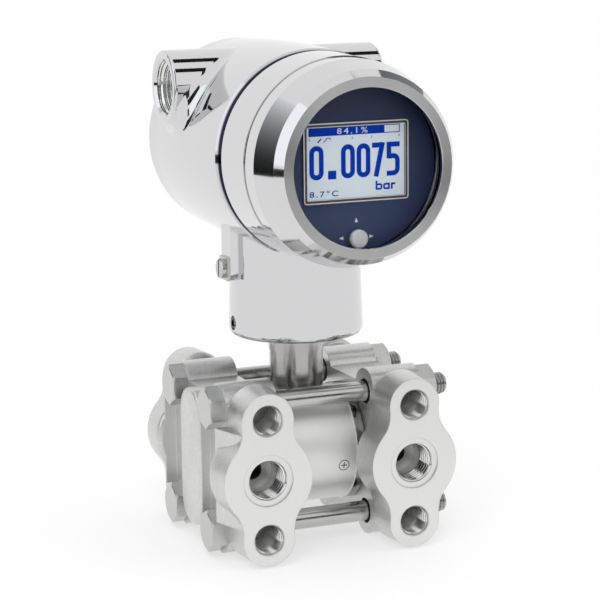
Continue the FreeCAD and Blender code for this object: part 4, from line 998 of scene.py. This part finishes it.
def add_cell():
    """The cell body: a brushed barrel between two polished end bands."""
    low, high = reach("measuring_cell", 0)
    radius = reach("measuring_cell", 2)[1]
    body = radius - CELL_STEP
    bevel, band, slope = 0.6, 3.5, 0.2
    corners = [(low, 0.01, 0), (low, radius - bevel, 0.2), (low + bevel, radius, 0.2),
               (low + band, radius, 0.2), (low + band + slope, body, 0.1), (high - band - slope, body, 0.1),
               (high - band, radius, 0.2), (high - bevel, radius, 0.2), (high, radius - bevel, 0.2),
               (high, 0.01, 0)]
    points, tangents = rounded(corners)
    at, normals = turned_points(points, tangents, "X", CELL, CELL_AROUND)
    faces = grid_faces(len(points), CELL_AROUND, wrap_columns=True)
    along = at[faces].mean(axis=1)[:, 0]
    edge = band + slope / 2
    kinds = ((along < low + edge) | (along > high - edge)).astype(int)
    piece = build("cell_shell", at, faces, [CELL_STEEL, RIM_STEEL], "measuring_cell", normals, kinds)
    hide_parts("measuring_cell")


# ---------------------------------------------------------------- display

def on_plane(y):
    """Place flat (u, v) millimetres from the head's axis on a plane across Y."""
    return lambda flat: np.stack([flat[:, 0], np.full(len(flat), y), flat[:, 1] + HEAD_Z / MM], axis=1)


def arc(centre, radius, start, end, count=9):
    """Points of a circular arc between two angles in degrees."""
    t = np.radians(np.linspace(start, end, count))
    return np.stack([centre[0] + radius * np.cos(t), centre[1] + radius * np.sin(t)], axis=1)


def round_box(left, right, low, high, radius):
    """A closed path round a box with rounded corners."""
    return np.concatenate([arc((right - radius, high - radius), radius, 0, 90),
                           arc((left + radius, high - radius), radius, 90, 180),
                           arc((left + radius, low + radius), radius, 180, 270),
                           arc((right - radius, low + radius), radius, 270, 360)])


def digit(figure, left, right, low, high, width):
    """Bands that draw one tall figure in a box with strokes of even width."""
    w = width / 2
    left, right, low, high = left + w, right - w, low + w, high - w
    half = (right - left) / 2
    if figure == "0":
        return [(stroke(round_box(left, right, low, high, half * 0.98), width, True), True)]
    if figure == "7":
        return [(stroke([(left - w, high), (right + w * 0.4, high)], width), False),
                (stroke([(right - 0.1, high + w), (left + half * 0.35, low - w)], width * 1.05), False)]
    middle_v = low + (high - low) * 0.60
    bowl = np.concatenate([[(left, middle_v - 0.3), (left + half * 0.6, middle_v)],
                           arc((right - half, middle_v - half), half, 80, 0),
                           arc((right - half, low + half), half, 0, -90), [(left - w, low)]])
    return [(stroke([(right + w, high), (left - w, high)], width), False),
            (stroke([(left, high + w), (left, middle_v - w)], width), False),
            (stroke(bowl, width), False)]


def box_band(left, right, low, high):
    """One filled box as a band."""
    return (np.array([[(left, low), (left, high)], [(right, low), (right, high)]], float), False)


def add_display():
    """The reading: a bar graph over its scale, five tall figures, a decimal point and the unit."""
    bands = [box_band(-16.6, 10.2, 10.0, 12.8),
             (stroke([(10.2, 12.65), (15.5, 12.65), (15.5, 10.15), (10.2, 10.15)], 0.3), False)]
    for u in TICKS:
        bands.append(box_band(u - 0.12, u + 0.12, 8.6, 9.4))
    for figure, left, right in FIGURES:
        bands += digit(figure, left, right, FIGURE_LOW, FIGURE_HIGH, FIGURE_STROKE)
    bands.append(box_band(-9.9, -7.0, FIGURE_LOW, -1.3))
    bands.append((stroke([(-13.4, 8.0), (-12.2, 9.2)], 0.5), False))
    bands.append((stroke([(-11.4, 7.9), (-10.1, 9.3), (-9.2, 9.3)], 0.3), False))
    w, low, mid = 0.62, -8.5, -6.7
    bands += [(stroke([(7.2, low), (7.2, -5.5)], w), False),
              (stroke(round_box(7.2, 9.0, low + w / 2, mid, 0.5), w, True), True),
              (stroke(round_box(9.9, 11.7, low + w / 2, mid, 0.5), w, True), True),
              (stroke([(11.7, low), (11.7, mid + w / 2)], w), False),
              (stroke([(12.7, low), (12.7, mid + w / 2)], w), False),
              (stroke([(12.7, mid - 0.3), (13.2, mid), (14.0, mid)], w), False)]
    add_print("display_reading", bands, on_plane(SCREEN_Y - PRINT_LIFT), INK_BLUE, "screen_module")


def add_words(name, words, left, low, height, squeeze, material, lift, heavy=0.0):
    """A short reading in plain letters, made a mesh, scaled to a height and set on the display."""
    curve = bpy.data.curves.new(name, "FONT")
    curve.body = words
    curve.offset = heavy
    curve.space_character = 1.3
    maker = link(bpy.data.objects.new(name + "_maker", curve))
    bpy.context.view_layer.update()
    mesh = bpy.data.meshes.new_from_object(maker)
    bpy.data.objects.remove(maker)
    flat = triples(mesh.vertices, "co")[:, :2]
    flat = (flat - flat.min(axis=0)) / (flat[:, 1].max() - flat[:, 1].min()) * height
    flat[:, 0] *= squeeze
    points = on_plane(SCREEN_Y - lift)(flat + (left, low)) * MM
    mesh.vertices.foreach_set("co", points.astype(np.float32).ravel())
    mesh.name = name
    mesh.materials.clear()
    mesh.materials.append(material)
    piece = link(bpy.data.objects.new(name, mesh))
    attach(piece, BODY_OF["screen_module"])


def add_screen_frame():
    """Two pale lines with a dark one between them round the display, on the frame's face."""
    low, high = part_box("screen_frame")
    left, right = low.x / MM, high.x / MM
    bottom, top = low.z / MM - HEAD_Z / MM, high.z / MM - HEAD_Z / MM
    bands = []
    for inset, radius, width in ((0.25, 0.9, 0.34), (1.3, 0.3, 0.22)):
        path = round_box(left + inset, right - inset, bottom + inset, top - inset, radius)
        bands.append((stroke(path, width, True), True))
    add_print("screen_border", bands, on_plane(low.y / MM - 0.04), INK_WHITE, "display_plate")


def add_arrows():
    """Three small arrow heads round the joystick."""
    stick_u, stick_v = STICK.x / MM, (STICK.z - HEAD_Z) / MM
    bands = []
    for u, v, way in ((0, 6.0, (0, 1)), (-5.4, 0.3, (-1, 0)), (5.4, 0.3, (1, 0))):
        spot = np.array([stick_u + u, stick_v + v])
        tip = np.array(way) * 0.75
        side = np.array([-way[1], way[0]]) * 0.62
        bands.append((np.stack([[spot - tip - side, spot - tip + side], [spot + tip] * 2]), False))
    plate = reach("display_plate", 1)[0]
    add_print("joystick_arrows", bands, on_plane(plate - PRINT_LIFT), INK_WHITE, "display_plate")


# ---------------------------------------------------------------- threads and marks

def add_threads():
    """Threads of the cable entries, mounting holes and process ports, just inside their bores."""
    boss_face = reach("transmitter_housing", 0)[1]
    for side, name in ((-1, "left"), (1, "right")):
        start, end = sorted(side * (boss_face - depth) for depth in ENTRY_SPAN)
        thread_piece(f"entry_thread_{name}", "X", ENTRY, *ENTRY_THREAD, start, end,
                     "transmitter_housing", BORE, 72, True)
    for side, name in ((-1, "left"), (1, "right")):
        port_x = side * PORT_SIDE * MM
        node = "process_flange_" + name
        for height, where in ((SCREW_RISE, "top"), (-SCREW_RISE, "low")):
            thread_piece(f"screw_thread_{name}_{where}", "Y", (port_x, 0, CELL_Z + height * MM),
                         *SCREW_THREAD, *SCREW_SPAN, node, BORE, 48, True)
        thread_piece(f"port_thread_{name}", "Y", (port_x, 0, CELL_Z), *PORT_THREAD, *PORT_SPAN, node, BORE,
                     64, True)


def add_cell_mark():
    """A plus in a circle, etched on the front of the cell."""
    radius = reach("measuring_cell", 2)[1] - CELL_STEP + PRINT_LIFT
    u, v = 9.5, -4.0
    bands = [(stroke(arc((u, v), 1.9, 0, 360 - 360 / 32, 32), 0.28, True), True),
             (stroke([(u - 1.1, v), (u, v), (u + 1.1, v)], 0.34), False),
             (stroke([(u, v - 1.1), (u, v), (u, v + 1.1)], 0.34), False)]

    def on_cell(flat):
        """Wrap flat (u, v) round the barrel: v is an arc length from the horizontal."""
        turn = flat[:, 1] / radius
        return np.stack([flat[:, 0], STEM_Y / MM - radius * np.cos(turn),
                         CELL_Z / MM + radius * np.sin(turn)], axis=1)

    add_print("cell_mark", bands, on_cell, INK_DARK, "measuring_cell")


for node_name, slot_name in SLOT_OF.items():
    dress(node_name, SLOTS[slot_name])
dress("joystick_cap", PALE)
add_housing()
for flange in ("process_flange_left", "process_flange_right"):
    smooth_copy(flange, BLASTED)
add_bolts()
add_cover()
add_cell()
add_display()
add_words("reading_warmth", "8.7°C", -16.4, -9.7, 2.0, 1.35, INK_BLUE, 0.04, 0.015)
add_words("reading_share", "84.1%", -6.6, 10.45, 1.9, 1.35, INK_WHITE, 0.07)
add_screen_frame()
add_arrows()
add_threads()
add_cell_mark()

add_camera()
add_studio()
